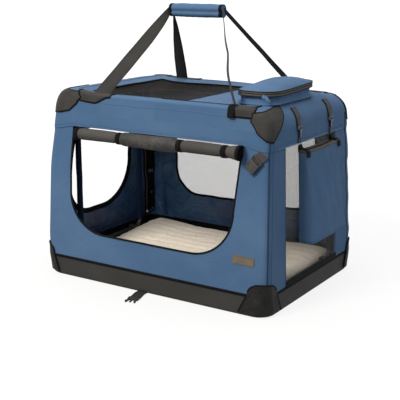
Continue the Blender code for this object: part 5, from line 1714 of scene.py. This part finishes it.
@dataclass
class Handle(Part):
    """Four straps that meet in a padded grip."""

    centre_x: float = -0.014
    low: float = 0.5203
    height: float = 0.735
    length: float = 0.166
    deep: float = 0.032
    tall: float = 0.036
    cloth: float = 0.0016
    inset: float = 0.007
    padding: tuple[Swell, Swell] = (Swell((0.030, 0.016, 0.016), 71, 0.0008), Swell((0.010, 0.03, 0.03), 72, 0.0004))
    feet: tuple[Pair, Pair] = ((-0.184, -0.204), (0.232, 0.184))
    breadths: tuple[Pair, Pair] = ((0.054, 0.040), (0.042, 0.026))
    narrowing: tuple[Pair, Pair] = ((5.0, 2.2), (2.2, 0.7))
    strap_outline: Pairs = ((-1.0, -0.4), (-0.95, -1.0), (0.0, -1.0), (0.95, -1.0), (1.0, -0.4),
                            (1.0, 0.4), (0.95, 1.0), (0.0, 1.0), (-0.95, 1.0), (-1.0, 0.4))
    anchor_from: tuple[Pair, Pair] = ((-0.252, -0.252), (0.236, 0.190))
    anchor_to: Pair = (-0.142, 0.293)
    anchor_levels: tuple[float, ...] = (0.4975, 0.5015, 0.5055, 0.5095, 0.5130, 0.5155, 0.5175, 0.5190, 0.5199)
    tab: tuple[Triple, ...] = (
        (0.2290, -0.2085, 0.5235), (0.2290, -0.2175, 0.5235), (0.2295, -0.2235, 0.5205), (0.2300, -0.2275, 0.5125),
        (0.2310, -0.2300, 0.5020), (0.2320, -0.2330, 0.4945), (0.2325, -0.2365, 0.4950), (0.2325, -0.2360, 0.5030),
        (0.2315, -0.2325, 0.5130), (0.2305, -0.2285, 0.5205))

    def strap_rows(self, side: Side) -> Array:
        """Sections of one strap, from the crate's edge up to the grip.

        Args:
            side: Signs of X and Y of its foot.

        Returns:
            Grid of points, a section in each row.
        """
        right, rear = (sign > 0 for sign in side)
        x, y = self.feet[right][rear], side[1] * (self.shell.half_depth(self.low) - 0.008)
        foot = np.array([x, y, self.low + self.cloth / 2.0 * rear + self.shell.top_lift(x, y)])
        head = np.array([self.centre_x + side[0] * (self.length / 2.0 + 0.0011), side[1] * self.inset, self.height])
        run, half, rise = head - foot, self.breadths[right][rear] / 2.0, Z * self.tall / 4.0
        if side == (1, -1):
            flat = unit(run * (1.0, 1.0, 0.0))
            across, thick = flat * half, np.cross(flat, Z) * self.cloth / 2.0
            across_head = Y * flat[1] * self.inset / 2.0 - rise
        else:
            across = X * half
            thick = unit(np.cross(across, run)) * self.cloth / 2.0
            across_head = side[1] * (rise - Y * self.inset / 2.0)
        thick_head = X * math.copysign(self.cloth / 2.0, thick[0] or 1.0)
        share = np.linspace(0.0, 1.0, 46)[:, None]
        narrow = share ** self.narrowing[right][rear]
        reach = across * (1.0 - narrow) + across_head * narrow
        flesh = thick * (1.0 - share) + thick_head * share
        sway = 0.0022 * np.sin(5.0 * share + side[0]) + 0.0010 * np.sin(17.0 * share + side[1])
        middle = foot + run * share + unit(flesh) * sway * arch(share) - Z * 0.0035 * arch(share) * (not rear)
        if side == (1, -1):
            middle -= Y * 0.015 * arch(np.minimum(1.0, share / 0.55))
        outline = np.array(self.strap_outline)
        return middle[:, None] + reach[:, None] * outline[:, :1] + flesh[:, None] * outline[:, 1:]

    def make_strap(self, side: Side, name: str) -> None:
        """One strap of webbing, with rows of stitches along both edges.

        Args:
            side: Signs of X and Y of its foot.
            name: Its name, such as front_left.
        """
        sewing = Sewing()
        rows = self.strap_rows(side)
        middle = rows.mean(axis=1)
        sewing.tube_of(rows, rows[23, 5] - middle[23])
        for column in (6, 8):
            near = rows[1:-1, column] * 0.80 + rows[1:-1, 7] * 0.20
            sewing.stitches(near, unit(rows[1:-1, 7] - middle[1:-1]), 1)
        made = self.piece(sewing, "strap_webbing_" + name, "webbing binding", "top", "webbing",
                          "handle_strap_" + name, weld=0.00001)
        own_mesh(made)

    def make_anchor(self, side: Side, name: str) -> None:
        """Strap's end sewn along the top edge, out to the corner patch, with bound edges.

        Args:
            side: Signs of X and Y of the strap's foot.
            name: Its name, such as front_left.
        """
        sewing = Sewing()
        right, rear = (sign > 0 for sign in side)
        face, top = "back" if rear else "front", self.anchor_levels[-1]
        xs = np.linspace(self.anchor_from[right][rear], self.anchor_to[right], 20)
        shrink = 1.0 - 0.018 * ease_in(xs, -0.195, -0.145) * (not right) / 0.0224
        rows = [self.shell.wall(face, xs, top - (top - z) * shrink, self.shell.skirt_proud + 0.0016)
                for z in self.anchor_levels]
        for inward in (0.0029, 0.0069, 0.0109):
            x, y = rows[-1][:, 0], rows[-1][:, 1] - side[1] * inward
            rows.append(spots(x, y, 0.5217 + self.shell.top_lift(x, y)))
        rows = np.array(rows)
        out = rim(sewing.sheet(rows, 0.0014, flip=looks_against(rows[:6], OUT[face])))
        sewing.tube(rim(rows) - out * 0.0003, out, 0.0026, 1, flat=0.7)
        sewing.stitches(resample(rows[2, 1:-1], 0.003), OUT[face], 1, lift=0.0002)
        self.piece(sewing, "strap_anchor_" + name, "patch binding", "top", "webbing")

    def make_tab(self) -> None:
        """Folded webbing end that hangs over the front edge beside the right strap."""
        sewing = Sewing()
        line = resample(self.tab, 0.0018)
        sewing.tape(line, unit(np.cross(np.gradient(line, axis=0), X)), 0.0180, 0.0016)
        self.piece(sewing, "strap_tab", "binding", "top", "webbing")

    def section(self, along: float, grow: float = 0.0) -> Array:
        """Section of the grip.

        Args:
            along: Place along it, from -1 to 1.
            grow: How far the section lies outside the grip.

        Returns:
            Loop of points.
        """
        share = np.interp(abs(along), (0.0, 0.45, 0.94, 1.0), (1.0, 1.0, 0.95, 0.84))
        turn = np.linspace(0.0, FULL, 40, endpoint=False)
        y = squared(np.cos(turn), 0.86) * (share * self.deep / 2.0 + grow)
        z = squared(np.sin(turn), 0.86) * (share * self.tall / 2.0 + grow) + self.height
        points = spots(self.centre_x + along * self.length / 2.0, y, z)
        seam = 0.0042 * np.exp(-((turn - 1.04 * math.pi) / 0.22) ** 2)
        return points + self.ray(points) * (sum(swell.at(points) for swell in self.padding) - seam)[:, None]

    def ray(self, points: Array) -> Array:
        """Directions out of the grip's middle line."""
        return unit((points - Z * self.height) * (0.0, 1.0, 1.0))

    def make_grip(self) -> None:
        """Padded grip wrapped round the straps, bound at its ends."""
        sewing = Sewing()
        rows = np.array([self.section(along) for along in np.linspace(-1.0, 1.0, 44)])
        sewing.tube_of(rows, self.ray(rows[22, 20]))
        made = self.piece(sewing, "grip_padding", "blue", "handle", "cloth_blue", "handle_grip", weld=0.00001)
        sewing = Sewing()
        for along in (-0.955, 0.955):
            ring = self.section(along)
            sewing.tape(ring, self.ray(ring), 0.0085, 0.0011, closed=True)
        for place in (32, 28):
            path = np.array([self.section(along, 0.0004)[place] for along in np.linspace(-0.9, 0.9, 60)])
            sewing.tube(path, self.ray(path), 0.0007, 1)
        self.piece(sewing, "grip_binding", "binding thread", "handle", "cloth_dark")

    def build(self) -> None:
        """Make the straps, their sewn ends, the tab and the grip."""
        for side, name in CORNERS.items():
            self.make_strap(side, name)
            self.make_anchor(side, name)
        self.make_tab()
        self.make_grip()


@dataclass
class Bag(Part):
    """Storage bag on the right end, which hangs from two hooks."""

    low: float = 0.160
    high: float = 0.398
    near: float = -0.086
    far: float = 0.116
    off_wall: float = 0.0032
    thick_low: float = 0.050
    thick_top: float = 0.027
    cloth: float = 0.0016
    hanger_width: float = 0.021
    places: tuple[tuple[str, float], ...] = (("front", -0.078), ("rear", 0.104))
    folds: tuple[Swell, Swell] = (Swell((1.0, 0.020, 0.14), 81, 0.0022), Swell((1.0, 0.05, 0.09), 82, 0.0036))
    slants: Pair = (0.35, -0.8)
    hook_bars: tuple[Bar, ...] = (((0.0066, 0.0100, 0.0064), (0.0, 0.0, 0.4515), 0.0012),
                                  ((0.0052, 0.0066, 0.0140), (0.0, 0.0, 0.4420), 0.0010))
    tab: Pairs = ((0.3426, 0.4000), (0.3426, 0.4138), (0.3440, 0.4166), (0.3454, 0.4138), (0.3500, 0.4062),
                  (0.3655, 0.4040), (0.3702, 0.3990), (0.3712, 0.3850))

    def section(self, z: float, inset: float) -> Array:
        """Closed loop round the bag: back, near side, face and far side.

        Args:
            z: Its height.
            inset: How far it is drawn in.

        Returns:
            Its points.
        """
        share = (z - self.low) / (self.high - self.low)
        half_x = (self.thick_low + (self.thick_top - self.thick_low) * share) / 2.0 - inset
        half_y = (self.far - self.near) / 2.0 - inset - 0.0025 * arch(share)
        x, y = rounded_loop((half_x, half_y), min(0.0075, half_x * 0.8), (5, 6, 36))[0].T
        swell = (0.0040 * (1.0 - (y / half_y) ** 2) - 0.0042) * (0.35 + 0.65 * arch(min(1.0, share * 0.9 + 0.1)))
        fold = sum(swell.at(spots(0.0, y + slant * z, z)) for swell, slant in zip(self.folds, self.slants))
        push = ease_in(x / half_x, 0.1, 0.9) * (swell + fold * arch(np.clip(share, 0.0, 1.0)) ** 0.5)
        back = self.shell.half_length(z) + self.off_wall
        return spots(x + half_x + back + push, y + (self.near + self.far) / 2.0, z)

    def rim_rise(self, y: Array) -> Array:
        """How far the bag's top edge rises, most at the rear."""
        share = (y - self.near) / (self.far - self.near)
        return -0.0022 * arch(share) + 0.0016 * ease_in(share, 0.55, 1.0)

    def make_body(self) -> None:
        """Sagging shell of the bag with piped edges, the cord along its lower front edge pale as painted highlight."""
        sewing = Sewing()
        levels = [(z, 0.0) for z in np.linspace(self.high, self.low + 0.010, 40)]
        levels += [(self.low + rise, inset) for rise, inset in ((0.006, 0.0006), (0.0032, 0.0018), (0.0012, 0.0040),
                                                                (0.0, 0.0075))]
        rows = [self.section(z, inset) for z, inset in levels]
        for row, share in zip(rows, (1.0, 0.66, 0.33)):
            row[:, 2] += self.rim_rise(row[:, 1]) * share
        foot, middle = rows[-1], rows[-1].mean(axis=0)
        rows = np.array(rows + [middle + (foot - middle) * scale for scale in (0.6, 0.12, 0.0024)])
        out = rows[15, rows.shape[1] // 2] - rows[15].mean(axis=0)
        sewing.sheet(rows, self.cloth, (0, 1), closed=True, flip=looks_against(rows[:30], out, closed=True))
        for way in (-1.0, 1.0):
            corner = int(np.argmax(rows[20] @ (1.0, way, 0.0)))
            sewing.tube(rows[1:43, corner], (1.0, way, 0.0), 0.0013)
        # The cord along the bag's lower front edge takes the pale piping: painted highlight on that seam.
        foot = rows[42]
        face = foot[foot[:, 0] > foot[:, 0].mean() - 0.02]
        line = face[np.argsort(face[:, 1])][3:-3]
        sewing.tube(resample(line, 0.005), X - Z, 0.0014, 2)
        made = self.piece(sewing, "bag_cloth", "blue lining piping", "side_bag", "cloth_blue", "bag_body")

    def make_rim(self) -> None:
        """Top closed with zip tape, bound round its edge, with the zip's teeth and slider."""
        sewing = Sewing()
        ring = self.section(self.high, 0.0)
        rise, middle = Z * self.rim_rise(ring[:, 1:2]), ring.mean(axis=0)
        rows = np.array([middle + (ring - middle) * (scale, 1.0 - (1.0 - scale) * 0.13, 1.0) + rise
                         + Z * (0.0014 + 0.0012 * (1.0 - scale)) for scale in (1.0, 0.93, 0.75, 0.5, 0.25, 0.03)])
        sewing.sheet(rows, 0.0012, closed=True, flip=looks_against(rows[:3], Z, closed=True))
        out = unit((ring - middle) * (1.0, 1.0, 0.0))
        sewing.tape(ring + rise + Z * 0.0012, out, 0.0062, 0.0014, closed=True, sink=0.0004)
        y = np.linspace(self.near + 0.012, self.far - 0.012, 60)
        sewing.tape(spots(middle[0], y, self.high + self.rim_rise(y) + 0.0029), Z, 0.0042, 0.0010, 1)
        sewing.block((0.0060, 0.0090, 0.0030), (middle[0], self.near + 0.020, self.high + 0.0044), 0.0008, 2)
        self.piece(sewing, "bag_zip_tape", "zip_tape binding plastic", "side_bag", "cloth_dark", "bag_zip_rim")

    def make_tab(self, name: str, place: float) -> None:
        """Folded webbing tab that the hook takes."""
        sewing = Sewing()
        x, z = np.array(self.tab).T
        line = resample(spots(x, place, z), 0.0010)
        sewing.tape(line, unit(np.cross(np.gradient(line, axis=0), -Y)), 0.0180, 0.0011)
        self.piece(sewing, "bag_tab_webbing_" + name, "binding", "side_bag", "webbing", "bag_tab_" + name)

    def make_hanger(self, name: str, place: float) -> None:
        """Webbing sewn to the rounded end, which folds back through the hook's loop, with black cords of painted shade
        along its edges.
        """
        sewing = Sewing()
        z = np.linspace(0.507, 0.4600, 40)
        line = spots(self.shell.half_length(z) + self.shell.skirt_proud + 0.0010, place, z)
        line[:, 0] += np.maximum(self.shell.relief(line), 0.0)
        out = unit(np.cross(np.gradient(line, axis=0), -Y))
        out *= np.sign(out[:, :1])
        sewing.tape(line, out, self.hanger_width, 0.0015)
        # Black cords along both edges of the webbing: painted shade beside it.
        for edge in (-0.5, 0.5):
            sewing.tube(line + Y * edge * self.hanger_width + out * 0.0006, out, 0.0013, 1)
        sewing.tape(line[26:] + out[26:] * 0.0017, out[26:], self.hanger_width * 0.96, 0.0013)
        for height, number in ((0.506, 0), (0.4800, 22)):
            ends = spots(self.shell.half_length(height) + 0.0047, place + np.array([-0.0065, 0.0065]), height)
            sewing.stitches(resample(ends, 0.001), out[number], 1)
        self.piece(sewing, "hanger_webbing_" + name, "strap_grey binding", "bag_hanger", "webbing", "hanger_" + name)

    def make_hook(self, name: str, place: float) -> None:
        """Moulded snap hook: a loop for the webbing, a swivel and a sprung hook."""
        sewing = Sewing()
        x = float(self.shell.half_length(0.42)) + 0.0062
        turn = np.linspace(0.0, FULL, 24, endpoint=False)
        y, z = 0.0105 * squared(np.cos(turn), 0.6), 0.0038 * squared(np.sin(turn), 0.7)
        sewing.tube(spots(x, place + y, 0.4578 + z), X, 0.0017, closed=True, sides=8)
        for size, offset, bevel in self.hook_bars:
            sewing.block(size, np.array([x, place, 0.0]) + offset, bevel)
        bend = np.linspace(1.36 * math.pi, -0.35 * math.pi, 30)
        hook = spots(x, place - 0.0046 * np.cos(bend), 0.4262 - 0.0068 * np.sin(bend))
        shank = [(x, place, 0.4352), (x, place + 0.0030, 0.4332)]
        sewing.tube(np.concatenate([shank, hook]), X, 0.0019, sides=8)
        sewing.block((0.0026, 0.0020, 0.0080), (x, place - 0.0042, 0.4290), 0.0005)
        self.piece(sewing, "snap_hook_moulding_" + name, "gunmetal", "bag_hanger", "plastic", "snap_hook_" + name)

    def build(self) -> None:
        """Make the bag, its zip, its tabs, the webbings and the hooks."""
        self.make_body()
        self.make_rim()
        for name, place in self.places:
            self.make_tab(name, place)
            self.make_hanger(name, place)
            self.make_hook(name, place)


@dataclass
class Trims(Part):
    """Buckle and label on the front, the strap under the foot, and the sleeves on the legs."""

    buckle_from: Pair = (0.3230, 0.4140)
    buckle_to: Pair = (0.2780, 0.3600)
    buckle_edge: Pairs = ((-0.0160, -0.0145), (0.0060, -0.0150), (0.0150, -0.0125), (0.0150, -0.0085),
                          (0.0125, -0.0070))
    prong: Pairs = ((0.0150, 0.0080), (0.0290, 0.0095), (0.0340, 0.0105), (0.0352, 0.0125), (0.0330, 0.0148),
                    (0.0270, 0.0149), (0.0235, 0.0128), (0.0150, 0.0125))
    buckle_bars: tuple[Bar, ...] = (((0.0170, 0.0150, 0.0012), (0.0010, 0.0, 0.0076), 0.0005),
                                    ((0.0120, 0.0030, 0.0016), (-0.0030, -0.0110, 0.0074), 0.0006),
                                    ((0.0120, 0.0030, 0.0016), (-0.0030, 0.0110, 0.0074), 0.0006),
                                    ((0.0030, 0.0300, 0.0042), (-0.0190, 0.0, 0.0040), 0.0010),
                                    ((0.0030, 0.0300, 0.0042), (-0.0265, 0.0, 0.0040), 0.0010),
                                    ((0.0140, 0.0028, 0.0046), (-0.0210, -0.0140, 0.0040), 0.0009),
                                    ((0.0140, 0.0028, 0.0046), (-0.0210, 0.0140, 0.0040), 0.0009))
    stow_from: Triple = (-0.030, -0.2463, 0.0)
    stow_run: Triple = (0.012, -0.052, 0.0)
    stow_bars: tuple[Bar, ...] = (((0.0155, 0.0300, 0.0066), (0.0080, 0.0, 0.0035), 0.0016),
                                  ((0.0022, 0.0240, 0.0012), (0.0035, 0.0, 0.0068), 0.0005),
                                  ((0.0022, 0.0240, 0.0012), (0.0095, 0.0, 0.0068), 0.0005))
    web_width: float = 0.025
    web_cloth: float = 0.0016
    label_low: Pair = (0.245, 0.130)
    label_size: Pair = (0.064, 0.023)
    leg: float = 0.0086
    sleeve_slack: Swell = Swell((0.8, 1.0, 1.0), 91, 0.0006)

    def on_front(self, spot: Array, out: float) -> Array:
        """Points on the front wall from pairs of across and height."""
        return self.shell.wall("front", spot[..., 0], spot[..., 1], out)

    def make_buckle(self) -> None:
        """Short webbing and the female half of a side-release buckle, hanging askew."""
        start = np.array(self.buckle_from)
        way = unit(np.array(self.buckle_to) - start)
        across, proud = np.array([-way[1], way[0]]), self.shell.skirt_proud
        sewing = Sewing()
        side = np.linspace(-self.web_width / 2.0, self.web_width / 2.0, 8)[:, None] * across
        rows = self.on_front(start + np.linspace(0.0, 0.0265, 14)[:, None, None] * way + side, proud + 0.0022)
        sewing.sheet(rows, self.web_cloth, flip=looks_against(rows, -Y))
        for place in (0.0030, 0.0080):
            line = self.on_front(start + way * place + side * 0.86, proud + 0.0023)
            sewing.stitches(resample(line, 0.001), -Y, 1, lift=0.0002)
        crumple(self.piece(sewing, "buckle_web", "strap_grey binding", "base", "webbing", "buckle_webbing"))
        sewing = Sewing()
        base = turned(self.on_front(start + way * 0.0430, proud + 0.0008), (way[0], 0.0, way[1]), (0.0, -1.0, 0.06))
        edge = list(self.buckle_edge)
        sewing.plate(edge + [(x, -y) for x, y in reversed(edge)], 0.0075, base, 0.0014)
        sewing.blocks(self.buckle_bars, base)
        self.piece(sewing, "buckle_moulding", "plastic", "front_buckle", "plastic", "buckle_female")

    def make_label(self) -> None:
        """Bare label, sewn down along its edge."""
        sewing = Sewing()
        low = np.array(self.label_low)
        high = low + self.label_size
        plan = grid(np.linspace(low[0], high[0], 20), np.linspace(low[1], high[1], 9))
        rows = self.on_front(plan, 0.0013)
        sewing.sheet(rows, 0.0011, flip=looks_against(rows, -Y))
        line = self.on_front(resample(rectangle(low + 0.0022, high - 0.0022), 0.002), 0.0013)
        sewing.stitches(line, -Y, 1, lift=0.0002, thick=0.0008)
        crumple(self.piece(sewing, "label_bare", "label dark_thread", "base", "label", "label_blank"))

    def make_stow(self) -> None:
        """Strap that comes from under the base, with the buckle's prongs."""
        sewing = Sewing()
        start, run = np.array(self.stow_from), np.array(self.stow_run)
        heading = unit(run)
        share = np.linspace(0.0, 1.0, 24)[:, None]
        turn = ease_in(share, 0.0, 0.8)
        reach = X * (1.0 - turn) + np.cross(Z, heading) * turn
        rows = (start + share * run)[:, None] + reach[:, None] * np.linspace(-0.015, 0.015, 9)[:, None]
        rows[..., 2] = 0.0021 + 0.0030 * arch(share) ** 2 + 0.0006 * np.sin(share * 9.0)
        sewing.sheet(rows, 0.0016, flip=looks_against(rows, Z))
        for edge in (1, 7):
            sewing.stitches(rows[1:-1, edge], Z, 1, lift=0.0002)
        self.piece(sewing, "stow_webbing", "webbing binding", "base", "webbing", "stow_strap")
        sewing = Sewing()
        base = turned(start + run + heading * 0.0003, heading, Z)
        sewing.blocks(self.stow_bars, base)
        lifted = base @ Matrix.Translation((0.0, 0.0, 0.0009))
        sewing.plate([(x, -y) for x, y in reversed(self.prong)], 0.0052, lifted, 0.0009)
        sewing.plate(self.prong, 0.0052, lifted, 0.0009)
        sewing.block((0.0190, 0.0040, 0.0040), base @ Matrix.Translation((0.0245, 0.0, 0.0035)), 0.0012)
        self.piece(sewing, "stow_prongs", "plastic", "base", "plastic", "stow_buckle_male")

    def make_sleeves(self, body: str, x: float, reach: float) -> None:
        """Sleeves of cloth round the legs of one end frame, gathered at both ends, near-black as painted shade like the
        wall in shadow behind them.

        Args:
            body: left_end or right_end.
            x: Place of the legs along the crate.
            reach: Distance of the legs from the middle.
        """
        sewing = Sewing()
        turn, z = np.linspace(0.0, FULL, 24, endpoint=False), np.linspace(0.074, 0.398, 44)[:, None]
        for sign in (-1.0, 1.0):
            radius = self.leg + self.sleeve_slack.at(spots(turn, z * 30.0, sign))
            rows = spots(x + radius * np.cos(turn), sign * reach + radius * np.sin(turn), z)
            sewing.sheet(rows, 0.0010, closed=True, flip=looks_against(rows, -X, closed=True))
        self.piece(sewing, "leg_sleeves_" + body, "sleeve", body, "cloth_dark")

    def build(self) -> None:
        """Make the buckle, the label, the stowing strap and the sleeves."""
        self.make_buckle()
        self.make_label()
        self.make_stow()
        self.make_sleeves("left_end", -0.325, 0.145)
        self.make_sleeves("right_end", 0.325, 0.163)


@dataclass
class Hardware:
    """CAD pieces that keep their own shape and get a real finish."""

    paints: Palette
    finishes: dict[str, str] = field(default_factory=lambda: {
        "base_frame": "steel", "top_frame": "steel", "end_frame": "steel", "saddle": "plastic",
        "catch": "plastic", "floor_board": "board",
    })

    def build(self) -> None:
        """Give each shown CAD node its finish."""
        for name, node in frame["nodes"].items():
            for start, finish in self.finishes.items():
                if name.startswith(start):
                    node.data.materials.clear()
                    node.data.materials.append(self.paints(finish)[0])
                    log.info("%s keeps its CAD shape, finished as %s", name, finish)


@dataclass
class Studio:
    """Pale floor, soft light and the photograph's camera."""

    camera_place: Triple = (1.3432, -2.1071, 0.8436)
    camera_target: Triple = (0.004, -0.014, 0.2111)
    lens: float = 81.69
    ambient: float = 0.72
    floor_glow: Pair = (0.86, 1.0)
    white: tuple[float, float, float, float] = (1.0, 1.0, 1.0, 1.0)

    @staticmethod
    def aim(name: str, data: bpy.types.ID, place: Sequence[float], target: Sequence[float]) -> bpy.types.Object:
        """Put a camera or a lamp at a place, looking at a target."""
        made = link(name, data)
        made.location = place
        made.rotation_euler = (Vector(target) - Vector(place)).to_track_quat("-Z", "Y").to_euler()
        return made

    @staticmethod
    def seen_by(bench: NodeBench, *rays: str) -> Socket:
        """Mask that is 1 for the named kinds of ray and 0 for the rest."""
        path = bench.add("LightPath").outputs
        mask = path["Is %s Ray" % rays[0]]
        for ray in rays[1:]:
            mask = bench.math("MAXIMUM", mask, path["Is %s Ray" % ray])
        return mask

    def make_camera(self) -> None:
        """Camera at the photograph's own angle."""
        data = bpy.data.cameras.new("camera")
        data.lens = self.lens
        data.sensor_width = 36.0
        bpy.context.scene.camera = self.aim("camera", data, self.camera_place, self.camera_target)

    def make_lamp(self, name: str, place: Sequence[float], size: float, power: float, colour: Colour) -> None:
        """Soft square lamp that looks at the crate.

        Args:
            name: Its name.
            place: Where it stands.
            size: Length of its sides.
            power: Its power in watts.
            colour: Its colour.
        """
        data = bpy.data.lights.new(name, "AREA")
        data.shape = "RECTANGLE"
        data.size = data.size_y = size
        data.energy = power
        data.color = colour
        self.aim(name, data, place, (0.0, 0.0, 0.25))

    def make_world(self) -> None:
        """White surroundings to the eye and in reflections, softer as light."""
        world = bpy.data.worlds.new("surroundings")
        world.use_nodes = True
        bpy.context.scene.world = world
        bench = NodeBench(world.node_tree)
        seen = self.seen_by(bench, "Camera", "Glossy", "Transmission")
        strength = bench.math("MULTIPLY_ADD", seen, 1.0 - self.ambient, self.ambient)
        bench.put(world.node_tree.nodes["Background"], {"Color": self.white, "Strength": strength})

    def make_floor(self) -> None:
        """Wide white floor that keeps the object's shadow."""
        sewing = Sewing()
        edge = np.linspace(-30.0, 30.0, 3)
        sewing.strip(spots(edge, edge[:, None], -0.0003))
        paint = bpy.data.materials.new("studio_floor")
        paint.use_nodes = True
        bench = NodeBench(paint.node_tree)
        seen = self.seen_by(bench, "Camera", "Glossy")
        away = bench.vector("LENGTH", bench.add("NewGeometry").outputs["Position"])
        near, far = self.floor_glow
        glow = bench.math("MULTIPLY_ADD", bench.math("MINIMUM", away, 2.5), (far - near) / 2.0,
                          near - (far - near) / 4.0)
        bench.put(paint.node_tree.nodes["Principled BSDF"], {
            "Base Color": (0.10, 0.10, 0.10, 1.0), "Roughness": 0.9, "Specular IOR Level": 0.1,
            "Emission Color": self.white, "Emission Strength": bench.math("MULTIPLY", seen, glow)})
        sewing.make("studio_floor", [paint])

    def build(self) -> None:
        """Set up camera, world, floor and lamps."""
        self.make_camera()
        self.make_world()
        self.make_floor()
        self.make_lamp("key_lamp", (-0.60, -2.75, 2.50), 1.1, 115.0, (1.0, 0.93, 0.86))
        self.make_lamp("top_lamp", (0.10, -0.30, 3.20), 1.6, 18.0, (1.0, 1.0, 1.0))
        self.make_lamp("rim_lamp", (3.4, 0.7, 1.3), 1.6, 10.0, (0.75, 0.88, 1.0))
        bpy.context.scene.view_settings.view_transform = "Standard"


def clear_startup() -> None:
    """Remove what Blender starts with, such as its cube."""
    kept = set(frame["nodes"].values()) | set(frame["bodies"].values())
    for found in list(bpy.data.objects):
        if found not in kept:
            bpy.data.objects.remove(found)


def main() -> None:
    """Build every sub-assembly in order, then the studio."""
    logging.basicConfig(level=logging.INFO, format="%(name)s: %(message)s")
    clear_startup()
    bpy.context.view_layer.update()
    shell, paints = Shell(), Palette()
    for part in (Tray, Walls, Top, Mat, Rolls, Pocket, Handle, Bag, Trims):
        part(shell, paints).build()
    Hardware(paints).build()
    Studio().build()


if __name__ == "__main__":
    main()
